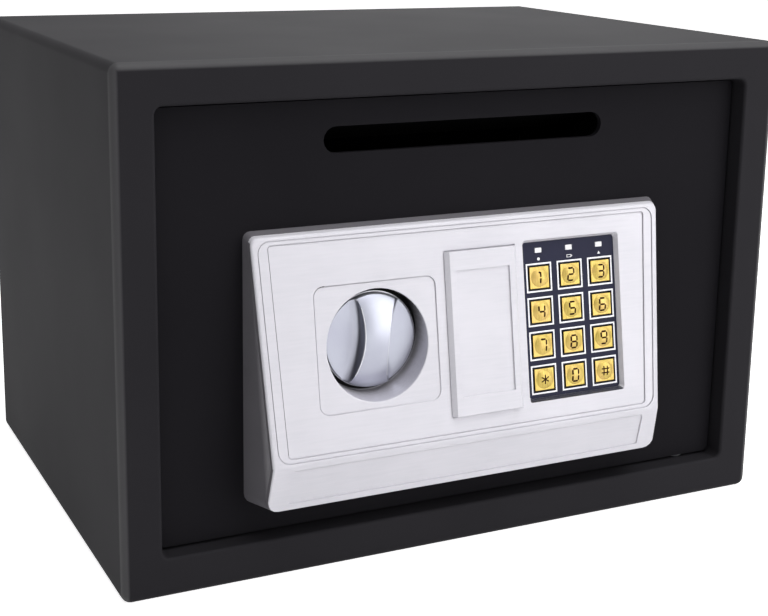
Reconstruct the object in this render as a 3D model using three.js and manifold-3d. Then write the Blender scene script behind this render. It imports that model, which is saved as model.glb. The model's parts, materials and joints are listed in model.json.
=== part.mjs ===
import * as THREE from "three";
import { mergeVertices } from "three/addons/utils/BufferGeometryUtils.js";
import Module from "manifold-3d";

// Drop safe for a counter: a folded steel cabinet, a recessed steel door with a deposit slot
// and, on the door, a wedge-shaped lock panel with a knob, a key cover and a keypad.
// Millimetres, +Z up, front towards -Y. The origin is the middle of the cabinet's underside.

const wasm = await Module();
wasm.setup();

// Cabinet
const cabinetWidth = 350;
const cabinetDepth = 250;
const bodySheet = 1.5;
const longEdgeRadius = 4.5;
const frontEdgeRadius = 3.5;
const frameBand = 19;
const frameReturn = 21; // how far the frame folds back round the opening
const openingCorner = 3.5;
const openingEdge = 1.6; // rounding where the frame turns into the opening
const anchorHole = 10;
const anchorSpacing = 200;
const baseAnchorSetback = 45; // from the middle of the base towards the back
const wallAnchorRise = 60; // from the middle of the back wall upwards
const weldGap = 0.2;
const matThickness = 3;
const matMargin = 2;

// Door
const doorRecess = 9;
const doorThickness = 3;
const doorGap = 1.5;
const doorCorner = 2.5;

// Hinge pins and blocks
const pivotInset = 20; // from the opening's side wall to the pivot
const pivotBehindDoor = 3; // from the door's back face to the pivot
const pinRadius = 2.5;
const pinReach = 13;
const pinBoreRoom = 2;
const pinHead = 1.2;
const pinHeadRadius = 4.5;
const pinClearance = 0.2;
const hingeRunning = 0.15;
const hingeBlockWidth = 16;
const hingeBlockDepth = 9;
const hingeBlockHeight = 20;
const hingeBlockChamfer = 2;

// Deposit slot, its chute and the comb that stops fishing
const slotLength = 149.6;
const slotHeight = 12.3;
const slotAbovePanel = 39;
const slotBelowFrame = 20;
const chuteSheet = 1.2;
const chuteMargin = 9;
const chuteMouthMargin = 3.2;
const chuteReach = 39;
const chuteFall = 17.5;
const combReach = 5.5;
const combPitch = 11;
const combSheet = 1;
const combFromExit = 7;
const combGap = 0.3;

// Lock panel: a wedge that is deepest at its crease, with a skirt below
const panelShift = -3; // the panel sits left of the door's middle
const panelWidth = 222;
const panelHeight = 130;
const panelRise = 16; // from the opening's lower edge to the panel's
const panelTopDepth = 6;
const panelCreaseDepth = 23.5;
const panelBottomDepth = 18.2;
const panelCreaseRise = 24.5;
const panelBottomLift = 1.8;
const panelTopDrop = 2.5;
const panelSideDraft = 0.243; // how far a side leans in for each unit of depth
const panelTopCorner = 3.5;
const panelBottomCorner = 5.5;
const housingWall = 2;
const faceThickness = 2.2;
const seatGap = 0.3;
const bossRadius = 4;
const bossBore = 1.6;

// Rim lines and recessed fields of the panel's face
const rimInset = 2.8;
const rimStep = 0.35;
const rimCorner = 6;
const fieldInset = 7.8;
const fieldEnd = 3.4; // from the crease and from the top edge
const fieldStep = 0.9;
const fieldCorner = 2;
const skirtInset = 9;
const skirtEnd = 2.6;
const skirtStep = 0.6;

// Knob in its bowl
const knobAcross = -49.4; // from the panel's middle
const knobBelowTop = 54; // along the slope from the panel's top edge
const knobRadius = 23.4;
const knobRim = 1.3;
const knobEase = 0.6;
const knobDome = 11.2;
const knobStandOff = 3.2; // from the door to the knob's back
const knobWaist = 6.3;
const knobScoopRadius = 64;
const knobScoopFillet = 3;
const knobScoopFloor = 1.9;
const knobHubRadius = 7;
const knobHubReach = 1.6;
const knobBoreDepth = 6;
const knobLean = 4.6; // degrees clockwise from upright, bolts drawn back
const knobTurn = 70; // degrees from drawn back to thrown
const bowlFloorGap = 0.6;
const bowlWall = 1.3;
const bowlFloorRadius = 25.4;
const bowlMouthRadius = 28.4;
const bowlEase = 1.8;
const knobSquareWidth = 62.6;
const knobSquareHeight = 59.6;
const knobSquareStep = 0.5;
const knobSquareCorner = 5;
const spindleRadius = 4;
const spindlePlay = 0.15;
const spindleHoleRadius = 4.8;

// Cam, crank and bolts
const camThickness = 3;
const camBehindDoor = 2.5;
const camRadius = 19;
const camLowRadius = 13.5;
const camLowBefore = 20; // degrees of low rim on the ramp's side of the plunger
const camLowAfter = 24;
const camRamp = 20;
const camNotchWidth = 8.2;
const crankRadius = 14;
const crankPinRadius = 3;
const crankPinReach = 5.5;
const crankSlotPlay = 0.25;
const boltPlateThickness = 2;
const boltPlateBehindDoor = 7.5;
const boltRadius = 6;
const boltBehindFrame = 7; // from the frame's inner edge back to the bolts' axis
const boltSpacing = 66;
const boltTipChamfer = 1.5;
const boltTipInset = 6; // from the opening's side wall, drawn back
const boltMargin = 3;
const flangeClearance = 3.5; // from the cover's left wall to the thrown bolts' flange
const stripHeight = 36;
const stripEndMargin = 8;
const tallLandWidth = 12;
const guideFromFlange = 8;
const guideStudRadius = 2.5;
const guideHeadRadius = 4.4;
const guideHead = 1.5;
const guidePlay = 0.3;
const bracketSheet = 2;
const bracketInset = 13; // from the opening's side wall to the bracket's upright
const bracketFoot = 10;
const bracketMargin = 7;
const bracketPlay = 0.3;

// Solenoid and its plunger
const coilWidth = 24;
const coilDepth = 20;
const coilHeight = 27;
const coilBehindDoor = 2;
const coilFoot = 6;
const coilFrameSheet = 2;
const plungerRadius = 4;
const plungerPlay = 0.3;
const plungerTravel = 4.5;
const plungerRest = 0.8; // from the cam's rim to the blade
const plungerSink = 24;
const bladeWidth = 7;
const bladeLug = 3;
const springRadius = 5.4;
const springWire = 0.7;
const springTurns = 2.5;
const springRoom = 4.8;

// Keypad
const keypadAcross = 58.1;
const keypadBelowTop = 52.3;
const keypadWidth = 55.6;
const keypadHeight = 79.8;
const keypadDepth = 2.4;
const keypadDraft = 1.3;
const keypadCorner = 1.6;
const keypadPlate = 0.9;
const keypadLedge = 1.6;
const keypadLedgeThickness = 0.9;
const trayWall = 2;
const keyPitchAcross = 17.75;
const keyPitchDown = 16.8;
const keyColumns = 3;
const keyRows = 4;
const firstKeyBelowTop = 31.4;
const keyWidth = 11.3;
const keyHeight = 11.1;
const keyCorner = 0.8;
const keyGap = 0.6;
const keyProud = 0.9;
const keyDome = 0.7;
const keyDomeRadius = 4.9;
const keyFlange = 0.6;
const keyFlangeThickness = 0.7;
const keyTravel = 0.8;
const membraneThickness = 0.7;
const boardThickness = 1.4;
const boardTopCut = 7;
const chipSize = 9;
const chipThickness = 1.2;
const lampBelowTop = 18;
const lampAcross = 17.6;
const lampWidth = 3.9;
const lampHeight = 2.5;
const lampProud = 0.2;
const lampPlay = 0.15;

// Key cover and the override lock behind it
const coverAcross = 6.6;
const coverBelowTop = 53.6;
const coverWidth = 39.3;
const coverHeight = 80.6;
const coverPocket = 1;
const coverPocketFloor = 1.2;
const coverProud = 2.4;
const coverBevel = 2;
const coverPlay = 0.3;
const coverInsetSide = 5;
const coverInsetEnd = 10;
const coverInsetStep = 0.8;
const lockRadius = 8;
const lockPlay = 0.5;
const lockFrontSink = 3;
const lockNutRadius = 11;
const lockNutThickness = 3;
const plugRadius = 5;
const plugPlay = 0.3;
const keywayWidth = 1.6;
const keywayHeight = 7;
const keywayDepth = 6;
const tailLength = 13;
const tailWidth = 6;
const tailThickness = 1.8;

// Cover over the mechanism, batteries and reset button
const mechFromBracket = 1.5;
const mechRight = 38; // from the opening's right wall
const mechBelowCoil = 9;
const mechAboveBolts = 17;
const mechDepth = 31;
const mechSheet = 1.2;
const mechFlange = 9.5;
const mechCorner = 3;
const boltWallPlay = 0.8;
const studRadius = 2;
const studPlay = 0.3;
const nutAcrossCorners = 8;
const nutThickness = 3;
const studRiseShare = 0.15; // height of the outer studs, as a share of the cover's height
const cellRadius = 7.1;
const cellLength = 50;
const cellNubRadius = 2.75;
const cellNub = 1;
const cellEdge = 0.8;
const cellPitch = 15.2;
const cellCount = 4;
const cellPlay = 0.3;
const boxWall = 1.5;
const boxEndRoom = 1;
const boxFromRight = 19.5; // from the cover's right wall
const boxFromBottom = 20;
const lidOverlap = 1.5;
const lidSheet = 1.4;
const lidPlug = 1.5;
const lidPlay = 0.4;
const lidGripCount = 5;
const lidGripWidth = 1.2;
const lidGripHeight = 0.8;
const lidGripLength = 22;
const lidGripPitch = 4;
const resetFromRight = 14;
const resetFromTop = 16;
const resetBody = 12;
const resetBodyDepth = 13.5;
const resetRadius = 3;
const resetPlay = 0.4;
const resetProud = 2.2;
const resetTravel = 1.5;
const resetStem = 6;

// Facets
const cornerSteps = 4;
const edgeSteps = 4;
const keySteps = 2;
const smallSteps = 16;
const roundSteps = 24;
const knobSteps = 48;
const domeSteps = 7;
const scoopSteps = 96;
const camSteps = 72;
const springSteps = 10;
const springSides = 6;
const overrun = 5;

// Places worked out from the sizes above
const frontY = -cabinetDepth / 2;
const backY = cabinetDepth / 2;
const openingWidth = cabinetWidth - 2 * frameBand;
const openingHeight = panelRise + panelHeight + slotAbovePanel + slotBelowFrame;
const cabinetHeight = openingHeight + 2 * frameBand;
const openingLeft = -openingWidth / 2;
const openingRight = openingWidth / 2;
const openingBottom = frameBand;
const openingTop = cabinetHeight - frameBand;
const openingMiddle = cabinetHeight / 2;
const doorFront = frontY + doorRecess;
const doorBack = doorFront + doorThickness;
const doorWidth = openingWidth - 2 * doorGap;
const doorHeight = openingHeight - 2 * doorGap;
const doorBottom = openingBottom + doorGap;
const doorTop = openingTop - doorGap;
const pivotX = openingRight - pivotInset;
const pivotY = doorBack + pivotBehindDoor;
const slotZ = openingTop - slotBelowFrame;
const degree = Math.PI / 180;

const panelX = panelShift;
const panelBottom = openingBottom + panelRise;
const panelTop = panelBottom + panelHeight;
const panelHalf = panelWidth / 2;
const creaseY = doorFront - panelCreaseDepth;
const creaseZ = panelBottom + panelCreaseRise;
const slopeRise = panelTop - panelTopDrop - creaseZ;
const slopeLean = panelCreaseDepth - panelTopDepth;
const slopeLength = Math.hypot(slopeRise, slopeLean);
const slopeAngle = Math.atan2(slopeLean, slopeRise);
const skirtDrop = panelCreaseRise - panelBottomLift;
const skirtLean = panelCreaseDepth - panelBottomDepth;
const skirtLength = Math.hypot(skirtDrop, skirtLean);
const skirtAngle = Math.atan2(skirtLean, skirtDrop);
const creaseHalf = panelHalf - panelSideDraft * panelCreaseDepth;
const halfGrowth = panelSideDraft * Math.sin(slopeAngle);
const reach = panelWidth + panelHeight;

const knobX = panelX + knobAcross;
const knobZ = creaseZ + (slopeLength - knobBelowTop) * Math.cos(slopeAngle);
const knobY = doorFront - knobStandOff;
const bowlFloorY = knobY + bowlFloorGap;
const camFront = doorBack + camBehindDoor;
const camBack = camFront + camThickness;
const crankStart = (Math.PI - knobTurn * degree) / 2;
const crankX = knobX + crankRadius * Math.cos(crankStart);
const crankLowZ = knobZ + crankRadius * Math.sin(crankStart);
const crankHighZ = knobZ + crankRadius;
const boltTravel = 2 * crankRadius * Math.cos(crankStart);
const plateFront = doorBack + boltPlateBehindDoor;
const plateBack = plateFront + boltPlateThickness;
const boltY = frontY + frameReturn + boltBehindFrame;
const boltTipX = openingLeft + boltTipInset;
const bracketX = openingLeft + bracketInset;
const boltZs = [knobZ - boltSpacing / 2, knobZ + boltSpacing / 2];
const tallZ0 = boltZs[0] - boltRadius - boltMargin;
const tallZ1 = boltZs[1] + boltRadius + boltMargin;
const bladeTipZ = knobZ - camRadius - plungerRest;
const lugTop = bladeTipZ - bladeLug / 2;
const lugBottom = lugTop - bladeLug;
const coilTop = lugBottom - springRoom;
const coilBottom = coilTop - coilHeight;

const mechX0 = bracketX + bracketSheet + mechFromBracket + mechFlange;
const mechX1 = openingRight - mechRight;
const mechZ0 = coilBottom - mechBelowCoil;
const mechZ1 = tallZ1 + mechAboveBolts;
const mechBack = doorBack + mechDepth;
const flangeX = mechX0 + mechSheet + boltTravel + flangeClearance;
const flangeBack = boltY + boltRadius + boltMargin - bracketPlay;

// Outlines

function arc(cx, cy, radius, from, to, steps) {
  const points = [];
  for (let i = 0; i <= steps; i++) {
    const a = from + (to - from) * i / steps;
    points.push(new THREE.Vector2(cx + radius * Math.cos(a), cy + radius * Math.sin(a)));
  }
  return points;
}

function circle(cx, cy, radius, steps) {
  return arc(cx, cy, radius, 0, 2 * Math.PI, steps).slice(0, steps);
}

// Rectangle between four limits, with its own radius at the lower and the upper corners.
function roundedBetween(x0, x1, y0, y1, lower, upper = lower, steps = cornerSteps) {
  const quarter = Math.PI / 2;
  return [
    ...arc(x1 - lower, y0 + lower, lower, -quarter, 0, steps),
    ...arc(x1 - upper, y1 - upper, upper, 0, quarter, steps),
    ...arc(x0 + upper, y1 - upper, upper, quarter, 2 * quarter, steps),
    ...arc(x0 + lower, y0 + lower, lower, 2 * quarter, 3 * quarter, steps),
  ];
}

function rounded(width, height, radius, cx = 0, cy = 0, steps = cornerSteps) {
  const [x, y] = [width / 2, height / 2];
  return roundedBetween(cx - x, cx + x, cy - y, cy + y, radius, radius, steps);
}

function obround(length, height, cx, cy, steps) {
  const r = height / 2;
  const half = length / 2 - r;
  const quarter = Math.PI / 2;
  return [
    ...arc(cx + half, cy, r, -quarter, quarter, steps),
    ...arc(cx - half, cy, r, quarter, 3 * quarter, steps),
  ];
}

function points(...pairs) {
  return pairs.map(([x, y]) => new THREE.Vector2(x, y));
}

function shapeOf(outline, holes = []) {
  const shape = new THREE.Shape(outline);
  shape.holes = holes.map((hole) => new THREE.Path(hole));
  return shape;
}

// Solids from outlines

// An outline in X and Y, raised from one height to another.
function raised(outline, holes, z0, z1) {
  const geometry = new THREE.ExtrudeGeometry(shapeOf(outline, holes), {
    depth: z1 - z0,
    bevelEnabled: false,
  });
  return geometry.translate(0, 0, z0);
}

// An outline in X and Z, from y0 back to y1.
function upright(outline, holes, y0, y1) {
  return raised(outline, holes, -y1, -y0).rotateX(Math.PI / 2);
}

// An outline in Y and Z, from x0 to x1.
function sideways(outline, x0, x1) {
  const turn = new THREE.Matrix4().makeBasis(
    new THREE.Vector3(0, 1, 0),
    new THREE.Vector3(0, 0, 1),
    new THREE.Vector3(1, 0, 0),
  );
  return raised(outline, [], x0, x1).applyMatrix4(turn);
}

function boxBetween(x0, x1, y0, y1, z0, z1) {
  const geometry = new THREE.BoxGeometry(x1 - x0, y1 - y0, z1 - z0);
  return geometry.translate((x0 + x1) / 2, (y0 + y1) / 2, (z0 + z1) / 2);
}

// A profile of [radius, height] pairs turned round Z.
function turned(profile, steps) {
  const lathe = new THREE.LatheGeometry(points(...profile), steps);
  return facingOut(lathe.rotateX(Math.PI / 2));
}

function rod(radius, z0, z1, steps) {
  return turned([[0, z0], [radius, z0], [radius, z1], [0, z1]], steps);
}

function alongX(geometry) {
  return geometry.rotateY(Math.PI / 2);
}

function alongY(geometry) {
  return geometry.rotateX(-Math.PI / 2);
}

// Outlines of equal count, one above the other, joined into a closed skin.
function loft(outlines, levels) {
  const count = outlines[0].length;
  const positions = outlines.flatMap((outline, k) => outline.flatMap((p) => [p.x, p.y, levels[k]]));
  const faces = [];
  for (let k = 0; k + 1 < outlines.length; k++) {
    for (let i = 0; i < count; i++) {
      const a = k * count + i;
      const b = k * count + (i + 1) % count;
      faces.push(a, b, b + count, a, b + count, a + count);
    }
  }
  const top = (outlines.length - 1) * count;
  for (const [a, b, c] of THREE.ShapeUtils.triangulateShape(outlines[0], [])) {
    faces.push(a, c, b);
  }
  for (const [a, b, c] of THREE.ShapeUtils.triangulateShape(outlines.at(-1), [])) {
    faces.push(top + a, top + b, top + c);
  }
  const geometry = new THREE.BufferGeometry();
  geometry.setAttribute("position", new THREE.Float32BufferAttribute(positions, 3));
  geometry.setIndex(faces);
  return facingOut(geometry);
}

// Vertices merged and empty faces dropped, so that the mesh is closed.
function welded(geometry) {
  const bare = geometry.clone();
  bare.deleteAttribute("normal");
  bare.deleteAttribute("uv");
  const merged = mergeVertices(bare);
  const index = merged.index.array;
  const faces = [];
  for (let i = 0; i < index.length; i += 3) {
    const [a, b, c] = index.slice(i, i + 3);
    if (a !== b && b !== c && c !== a) {
      faces.push(a, b, c);
    }
  }
  merged.setIndex(faces);
  return merged;
}

function facingOut(geometry) {
  const mesh = welded(geometry);
  const at = mesh.attributes.position;
  const index = mesh.index.array;
  const [a, b, c] = [new THREE.Vector3(), new THREE.Vector3(), new THREE.Vector3()];
  let volume = 0;
  for (let i = 0; i < index.length; i += 3) {
    a.fromBufferAttribute(at, index[i]);
    b.fromBufferAttribute(at, index[i + 1]);
    c.fromBufferAttribute(at, index[i + 2]);
    volume += a.dot(b.cross(c));
  }
  if (volume < 0) {
    mesh.setIndex([...index].reverse());
  }
  return mesh;
}

function toSolid(geometry) {
  const mesh = welded(geometry);
  return new wasm.Manifold(new wasm.Mesh({
    numProp: 3,
    vertProperties: new Float32Array(mesh.attributes.position.array),
    triVerts: new Uint32Array(mesh.index.array),
  }));
}

function fromSolid(solid) {
  const mesh = solid.getMesh();
  const geometry = new THREE.BufferGeometry();
  geometry.setAttribute("position", new THREE.BufferAttribute(mesh.vertProperties, 3));
  geometry.setIndex(new THREE.BufferAttribute(mesh.triVerts, 1));
  return geometry;
}

function join(first, ...others) {
  return fromSolid(others.reduce((sum, g) => sum.add(toSolid(g)), toSolid(first)));
}

function cut(first, ...tools) {
  return fromSolid(tools.reduce((rest, g) => rest.subtract(toSolid(g)), toSolid(first)));
}

function common(first, second) {
  return fromSolid(toSolid(first).intersect(toSolid(second)));
}

// Materials

const finish = (color, roughness, metalness) => (
  new THREE.MeshStandardMaterial({ color, roughness, metalness })
);
const coat = finish(0x2b2a2e, 0.62, 0.1);
const doorCoat = finish(0x211f23, 0.62, 0.1);
const felt = finish(0x26262a, 0.95, 0);
const bareSteel = finish(0x9a9ca0, 0.38, 0.9);
const zincSteel = finish(0xb4b5b2, 0.45, 0.85);
const darkPlastic = finish(0x434246, 0.55, 0);
const silverFace = finish(0xdcdbe0, 0.35, 0.35);
const knobMetal = finish(0xc9cad0, 0.24, 0.85);
const navyPlate = finish(0x33344a, 0.35, 0);
const goldKey = finish(0xd8be52, 0.4, 0.35);
const lampWhite = finish(0xe8e8ea, 0.3, 0);
const rubber = finish(0x55565a, 0.85, 0);
const boardGreen = finish(0x1f5a38, 0.5, 0);
const brass = finish(0xb9974c, 0.35, 0.9);
const coilWrap = finish(0x8c4a26, 0.6, 0.2);
const blackPlastic = finish(0x1a1a1c, 0.5, 0);
const cellSleeve = finish(0x2f5f8f, 0.4, 0.2);
const redPlastic = finish(0xb32a22, 0.4, 0);

const safe = new THREE.Group();

function place(name, geometry, material, group = safe) {
  const mesh = new THREE.Mesh(geometry, material);
  mesh.name = name;
  group.add(mesh);
  return mesh;
}

// Cabinet

// The wrap's outer skin: square behind, rounded over where it meets the front face.
function cabinetSkin() {
  const outlines = [];
  const levels = [];
  for (let i = 0; i <= edgeSteps; i++) {
    const a = Math.PI / 2 * i / edgeSteps;
    const inset = frontEdgeRadius * (1 - Math.sin(a));
    const size = [cabinetWidth - 2 * inset, cabinetHeight - 2 * inset];
    outlines.push(rounded(...size, longEdgeRadius - inset, 0, openingMiddle));
    levels.push(-frontY - frontEdgeRadius * (1 - Math.cos(a)));
  }
  outlines.push(outlines.at(-1));
  levels.push(-backY);
  return loft(outlines, levels).rotateX(Math.PI / 2);
}

// The opening as a cutter, flared at the front where the frame rounds into it.
function openingCutter() {
  const outlines = [];
  const levels = [];
  const outer = rounded(
    openingWidth + 2 * openingEdge, openingHeight + 2 * openingEdge,
    openingCorner + openingEdge, 0, openingMiddle,
  );
  outlines.push(outer);
  levels.push(-frontY + overrun);
  for (let i = 0; i <= edgeSteps; i++) {
    const a = Math.PI / 2 * i / edgeSteps;
    const spread = openingEdge * (1 - Math.sin(a));
    outlines.push(rounded(
      openingWidth + 2 * spread, openingHeight + 2 * spread,
      openingCorner + spread, 0, openingMiddle,
    ));
    levels.push(-frontY - openingEdge * (1 - Math.cos(a)));
  }
  outlines.push(outlines.at(-1));
  levels.push(-frontY - frameReturn - overrun);
  return loft(outlines, levels).rotateX(Math.PI / 2);
}

const innerWidth = cabinetWidth - 2 * bodySheet;
const innerHeight = cabinetHeight - 2 * bodySheet;
const innerCorner = longEdgeRadius - bodySheet;
const hollow = upright(
  rounded(innerWidth, innerHeight, innerCorner, 0, openingMiddle), [],
  frontY + bodySheet, backY + overrun,
);
const frameFold = upright(
  rounded(
    openingWidth + 2 * bodySheet, openingHeight + 2 * bodySheet,
    openingCorner + bodySheet, 0, openingMiddle,
  ), [],
  frontY + bodySheet / 2, frontY + frameReturn,
);
const pinHole = rod(pinRadius + pinClearance, -overrun, cabinetHeight + overrun, smallSteps)
  .translate(pivotX, pivotY, 0);
const anchorCutters = [-1, 1].map((side) => (
  rod(anchorHole / 2, -overrun, overrun, roundSteps)
    .translate(side * anchorSpacing / 2, baseAnchorSetback, 0)
));
const pinPassage = common(
  pinHole,
  boxBetween(openingLeft, openingRight, frontY, backY, bodySheet + overrun,
    cabinetHeight - bodySheet - overrun),
);
const bodyShell = cut(
  join(cut(cabinetSkin(), hollow), frameFold),
  openingCutter(), pinPassage, ...anchorCutters,
);
place("body_shell", bodyShell, coat);

const backHoles = [-1, 1].map((side) => (
  circle(side * anchorSpacing / 2, openingMiddle + wallAnchorRise, anchorHole / 2, roundSteps)
));
const backPanel = upright(
  rounded(innerWidth - 2 * weldGap, innerHeight - 2 * weldGap, innerCorner, 0, openingMiddle),
  backHoles, backY - bodySheet, backY,
);
place("back_panel", backPanel, coat);

const matHoles = [-1, 1].map((side) => (
  circle(side * anchorSpacing / 2, baseAnchorSetback, anchorHole / 2, smallSteps)
));
const matFrontY = frontY + frameReturn + matMargin;
const floorMat = raised(
  roundedBetween(
    innerCorner - innerWidth / 2, innerWidth / 2 - innerCorner,
    matFrontY, backY - bodySheet - matMargin, matMargin,
  ),
  matHoles, bodySheet, bodySheet + matThickness,
);
place("floor_mat", floorMat, felt);

// A pin stands in the folded frame and reaches into the door's hinge block. Its collar
// carries the block.
function hingePin(edgeZ, blockZ, way) {
  const low = edgeZ - way * (bodySheet + pinHead);
  const collar = blockZ - way * seatGap;
  const tip = blockZ + way * pinReach;
  const ease = way * pinClearance;
  return turned([
    [0, low],
    [pinHeadRadius, low],
    [pinHeadRadius, low + way * pinHead],
    [pinRadius, low + way * pinHead],
    [pinRadius, edgeZ],
    [pinHeadRadius, edgeZ],
    [pinHeadRadius, collar],
    [pinRadius, collar],
    [pinRadius, tip - ease],
    [pinRadius - pinClearance, tip],
    [0, tip],
  ], smallSteps).translate(pivotX, pivotY, 0);
}
place("lower_hinge_pin", hingePin(openingBottom, doorBottom, 1), bareSteel);
place("upper_hinge_pin", hingePin(openingTop, doorTop, -1), bareSteel);

// Door

const lockX = panelX + coverAcross;
const lockZ = creaseZ + (slopeLength - coverBelowTop) * Math.cos(slopeAngle);
const bossPlaces = [-1, 1].flatMap((side) => [
  [panelX + side * (panelHalf - housingWall - bossRadius), panelBottom + 2 * bossRadius],
  [panelX + side * (panelHalf - housingWall - bossRadius), panelTop - 3 * bossRadius],
]);
const doorHoles = [
  obround(slotLength, slotHeight, 0, slotZ, cornerSteps * 2),
  circle(knobX, knobZ, spindleHoleRadius, roundSteps),
  circle(lockX, lockZ, lockRadius + lockPlay, roundSteps),
  ...bossPlaces.map(([x, z]) => circle(x, z, bossBore + studPlay, smallSteps)),
];
const doorPlate = upright(
  rounded(doorWidth, doorHeight, doorCorner, 0, openingMiddle), doorHoles, doorFront, doorBack,
);
place("door_plate", doorPlate, doorCoat);

function hingeBlock(edgeZ, way) {
  const x0 = pivotX - hingeBlockWidth / 2;
  const x1 = pivotX + hingeBlockWidth / 2;
  const y1 = doorBack + hingeBlockDepth;
  const outline = points(
    [x0, doorBack], [x1, doorBack], [x1, y1 - hingeBlockChamfer],
    [x1 - hingeBlockChamfer, y1], [x0 + hingeBlockChamfer, y1], [x0, y1 - hingeBlockChamfer],
  );
  const far = edgeZ + way * hingeBlockHeight;
  const block = raised(outline, [], Math.min(edgeZ, far), Math.max(edgeZ, far));
  const bore = rod(pinRadius + hingeRunning, -overrun, pinReach + pinBoreRoom, roundSteps);
  if (way < 0) {
    bore.rotateX(Math.PI);
  }
  return cut(block, bore.translate(pivotX, pivotY, edgeZ));
}
place("lower_hinge_block", hingeBlock(doorBottom, 1), bareSteel);
place("upper_hinge_block", hingeBlock(doorTop, -1), bareSteel);

// Deposit chute: a sloping duct behind the slot, open at the door and at its exit.
const chuteHalf = slotLength / 2 + chuteMargin;
const chuteTop = slotZ + slotHeight / 2 + chuteMouthMargin;
const chuteFloor = slotZ - slotHeight / 2 - chuteMouthMargin + 1;
const chuteSlope = chuteFall / chuteReach;
const chuteExit = doorBack + chuteReach;

function chuteProfile(spread, start, end) {
  const zAt = (z, y) => z - chuteSlope * (y - doorBack);
  return points(
    [start, zAt(chuteFloor, start) - spread], [end, zAt(chuteFloor, end) - spread],
    [end, zAt(chuteTop, end) + spread], [start, zAt(chuteTop, start) + spread],
  );
}
const chute = cut(
  sideways(chuteProfile(chuteSheet, doorBack, chuteExit), -chuteHalf - chuteSheet,
    chuteHalf + chuteSheet),
  sideways(chuteProfile(0, doorBack - overrun, chuteExit + overrun), -chuteHalf, chuteHalf),
);
place("deposit_chute", chute, doorCoat);

// A comb of saw teeth under the chute's roof, so that nothing comes back up.
function comb() {
  const y = chuteExit - combFromExit;
  const roof = chuteTop - chuteSlope * (y + combSheet - doorBack) - combGap;
  const teeth = Math.floor(2 * (chuteHalf - combGap) / combPitch);
  const half = teeth * combPitch / 2;
  const outline = [[-half, roof], [-half, roof - combReach / 2]];
  for (let i = 0; i < teeth; i++) {
    outline.push([-half + (i + 0.5) * combPitch, roof - combReach]);
    outline.push([-half + (i + 1) * combPitch, roof - combReach / 2]);
  }
  outline.push([half, roof]);
  return upright(points(...outline), [], y, y + combSheet);
}
place("chute_comb", comb(), doorCoat);

// Lock panel

// The panel's plan at a depth from the door, drafted on every side.
function panelPlan(depth, inset) {
  const half = panelHalf - panelSideDraft * depth - inset;
  return roundedBetween(
    panelX - half, panelX + half,
    panelBottom + panelBottomLift / panelBottomDepth * depth + inset,
    panelTop - panelTopDrop / panelTopDepth * depth - inset,
    panelBottomCorner - inset, panelTopCorner - inset,
  );
}

function panelBlock(inset, back = 0) {
  const levels = [-back, panelCreaseDepth + overrun];
  return loft(levels.map((d) => panelPlan(Math.max(d, 0), inset)), levels)
    .rotateX(Math.PI / 2)
    .translate(0, doorFront, 0);
}

// All that lies more than a thickness behind the panel's two front planes.
function behindFace(thickness) {
  const slope = new THREE.Vector2(-Math.cos(slopeAngle), Math.sin(slopeAngle));
  const skirt = new THREE.Vector2(-Math.cos(skirtAngle), -Math.sin(skirtAngle));
  const crease = slope.clone().add(skirt)
    .multiplyScalar(-thickness / (1 + slope.dot(skirt)))
    .add(new THREE.Vector2(creaseY, creaseZ));
  const upper = new THREE.Vector2(slope.y, -slope.x).multiplyScalar(reach).add(crease);
  const lower = new THREE.Vector2(-skirt.y, skirt.x).multiplyScalar(reach).add(crease);
  const far = reach + crease.x;
  return sideways(
    [crease, lower, new THREE.Vector2(far, lower.y), new THREE.Vector2(far, upper.y), upper],
    panelX - reach, panelX + reach,
  );
}

const wedge = common(panelBlock(0), behindFace(0));
const housingRing = cut(common(wedge, behindFace(faceThickness + seatGap)),
  panelBlock(housingWall, overrun));
const bossRods = bossPlaces.map(([x, z]) => (
  common(
    alongY(rod(bossRadius, doorFront - panelCreaseDepth, doorFront, smallSteps))
      .translate(x, 0, 0)
      .translate(0, 0, z),
    common(panelBlock(housingWall / 2), behindFace(faceThickness + seatGap)),
  )
));
const bossBores = bossPlaces.map(([x, z]) => (
  alongY(rod(bossBore, doorFront - panelTopDepth / 2, doorFront + overrun, smallSteps))
    .translate(x, 0, z)
));
place("panel_housing", cut(join(housingRing, ...bossRods), ...bossBores), darkPlastic);

// Face coordinates: X across from the panel's middle, Y up the slope from the crease, Z out.
const faceMatrix = new THREE.Matrix4()
  .makeRotationX(Math.PI / 2 - slopeAngle)
  .setPosition(panelX, creaseY, creaseZ);
const skirtMatrix = new THREE.Matrix4()
  .makeRotationX(Math.PI / 2 + skirtAngle)
  .setPosition(panelX, creaseY, creaseZ);
const onFace = (geometry) => geometry.applyMatrix4(faceMatrix);
const belowTop = (distance) => slopeLength - distance;

// A rounded trapezium that keeps a distance from the face's leaning sides.
function faceOutline(inset, v0, v1, radius) {
  const low = creaseHalf + halfGrowth * v0 - inset;
  const high = creaseHalf + halfGrowth * v1 - inset;
  return roundedBetween(-low, low, v0, v1, radius).map((p) => {
    const share = (p.y - v0) / (v1 - v0);
    return new THREE.Vector2(p.x * (1 + share * (high - low) / low), p.y);
  });
}

const trayOuterBack = -fieldStep - keypadDepth - keypadPlate - seatGap - keypadLedgeThickness;
const keypadV = belowTop(keypadBelowTop);
const coverV = belowTop(coverBelowTop);
const pocketFloor = -fieldStep - coverPocket;
const trayPad = onFace(raised(
  rounded(keypadWidth + 2 * trayWall, keypadHeight + 2 * trayWall, keypadCorner + trayWall,
    keypadAcross, keypadV),
  [], trayOuterBack, -faceThickness / 2,
));
const coverPad = onFace(raised(
  rounded(coverWidth + 2 * coverPlay, coverHeight + 2 * coverPlay, keypadCorner,
    coverAcross, coverV),
  [], pocketFloor - coverPocketFloor, -faceThickness / 2,
));

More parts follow.
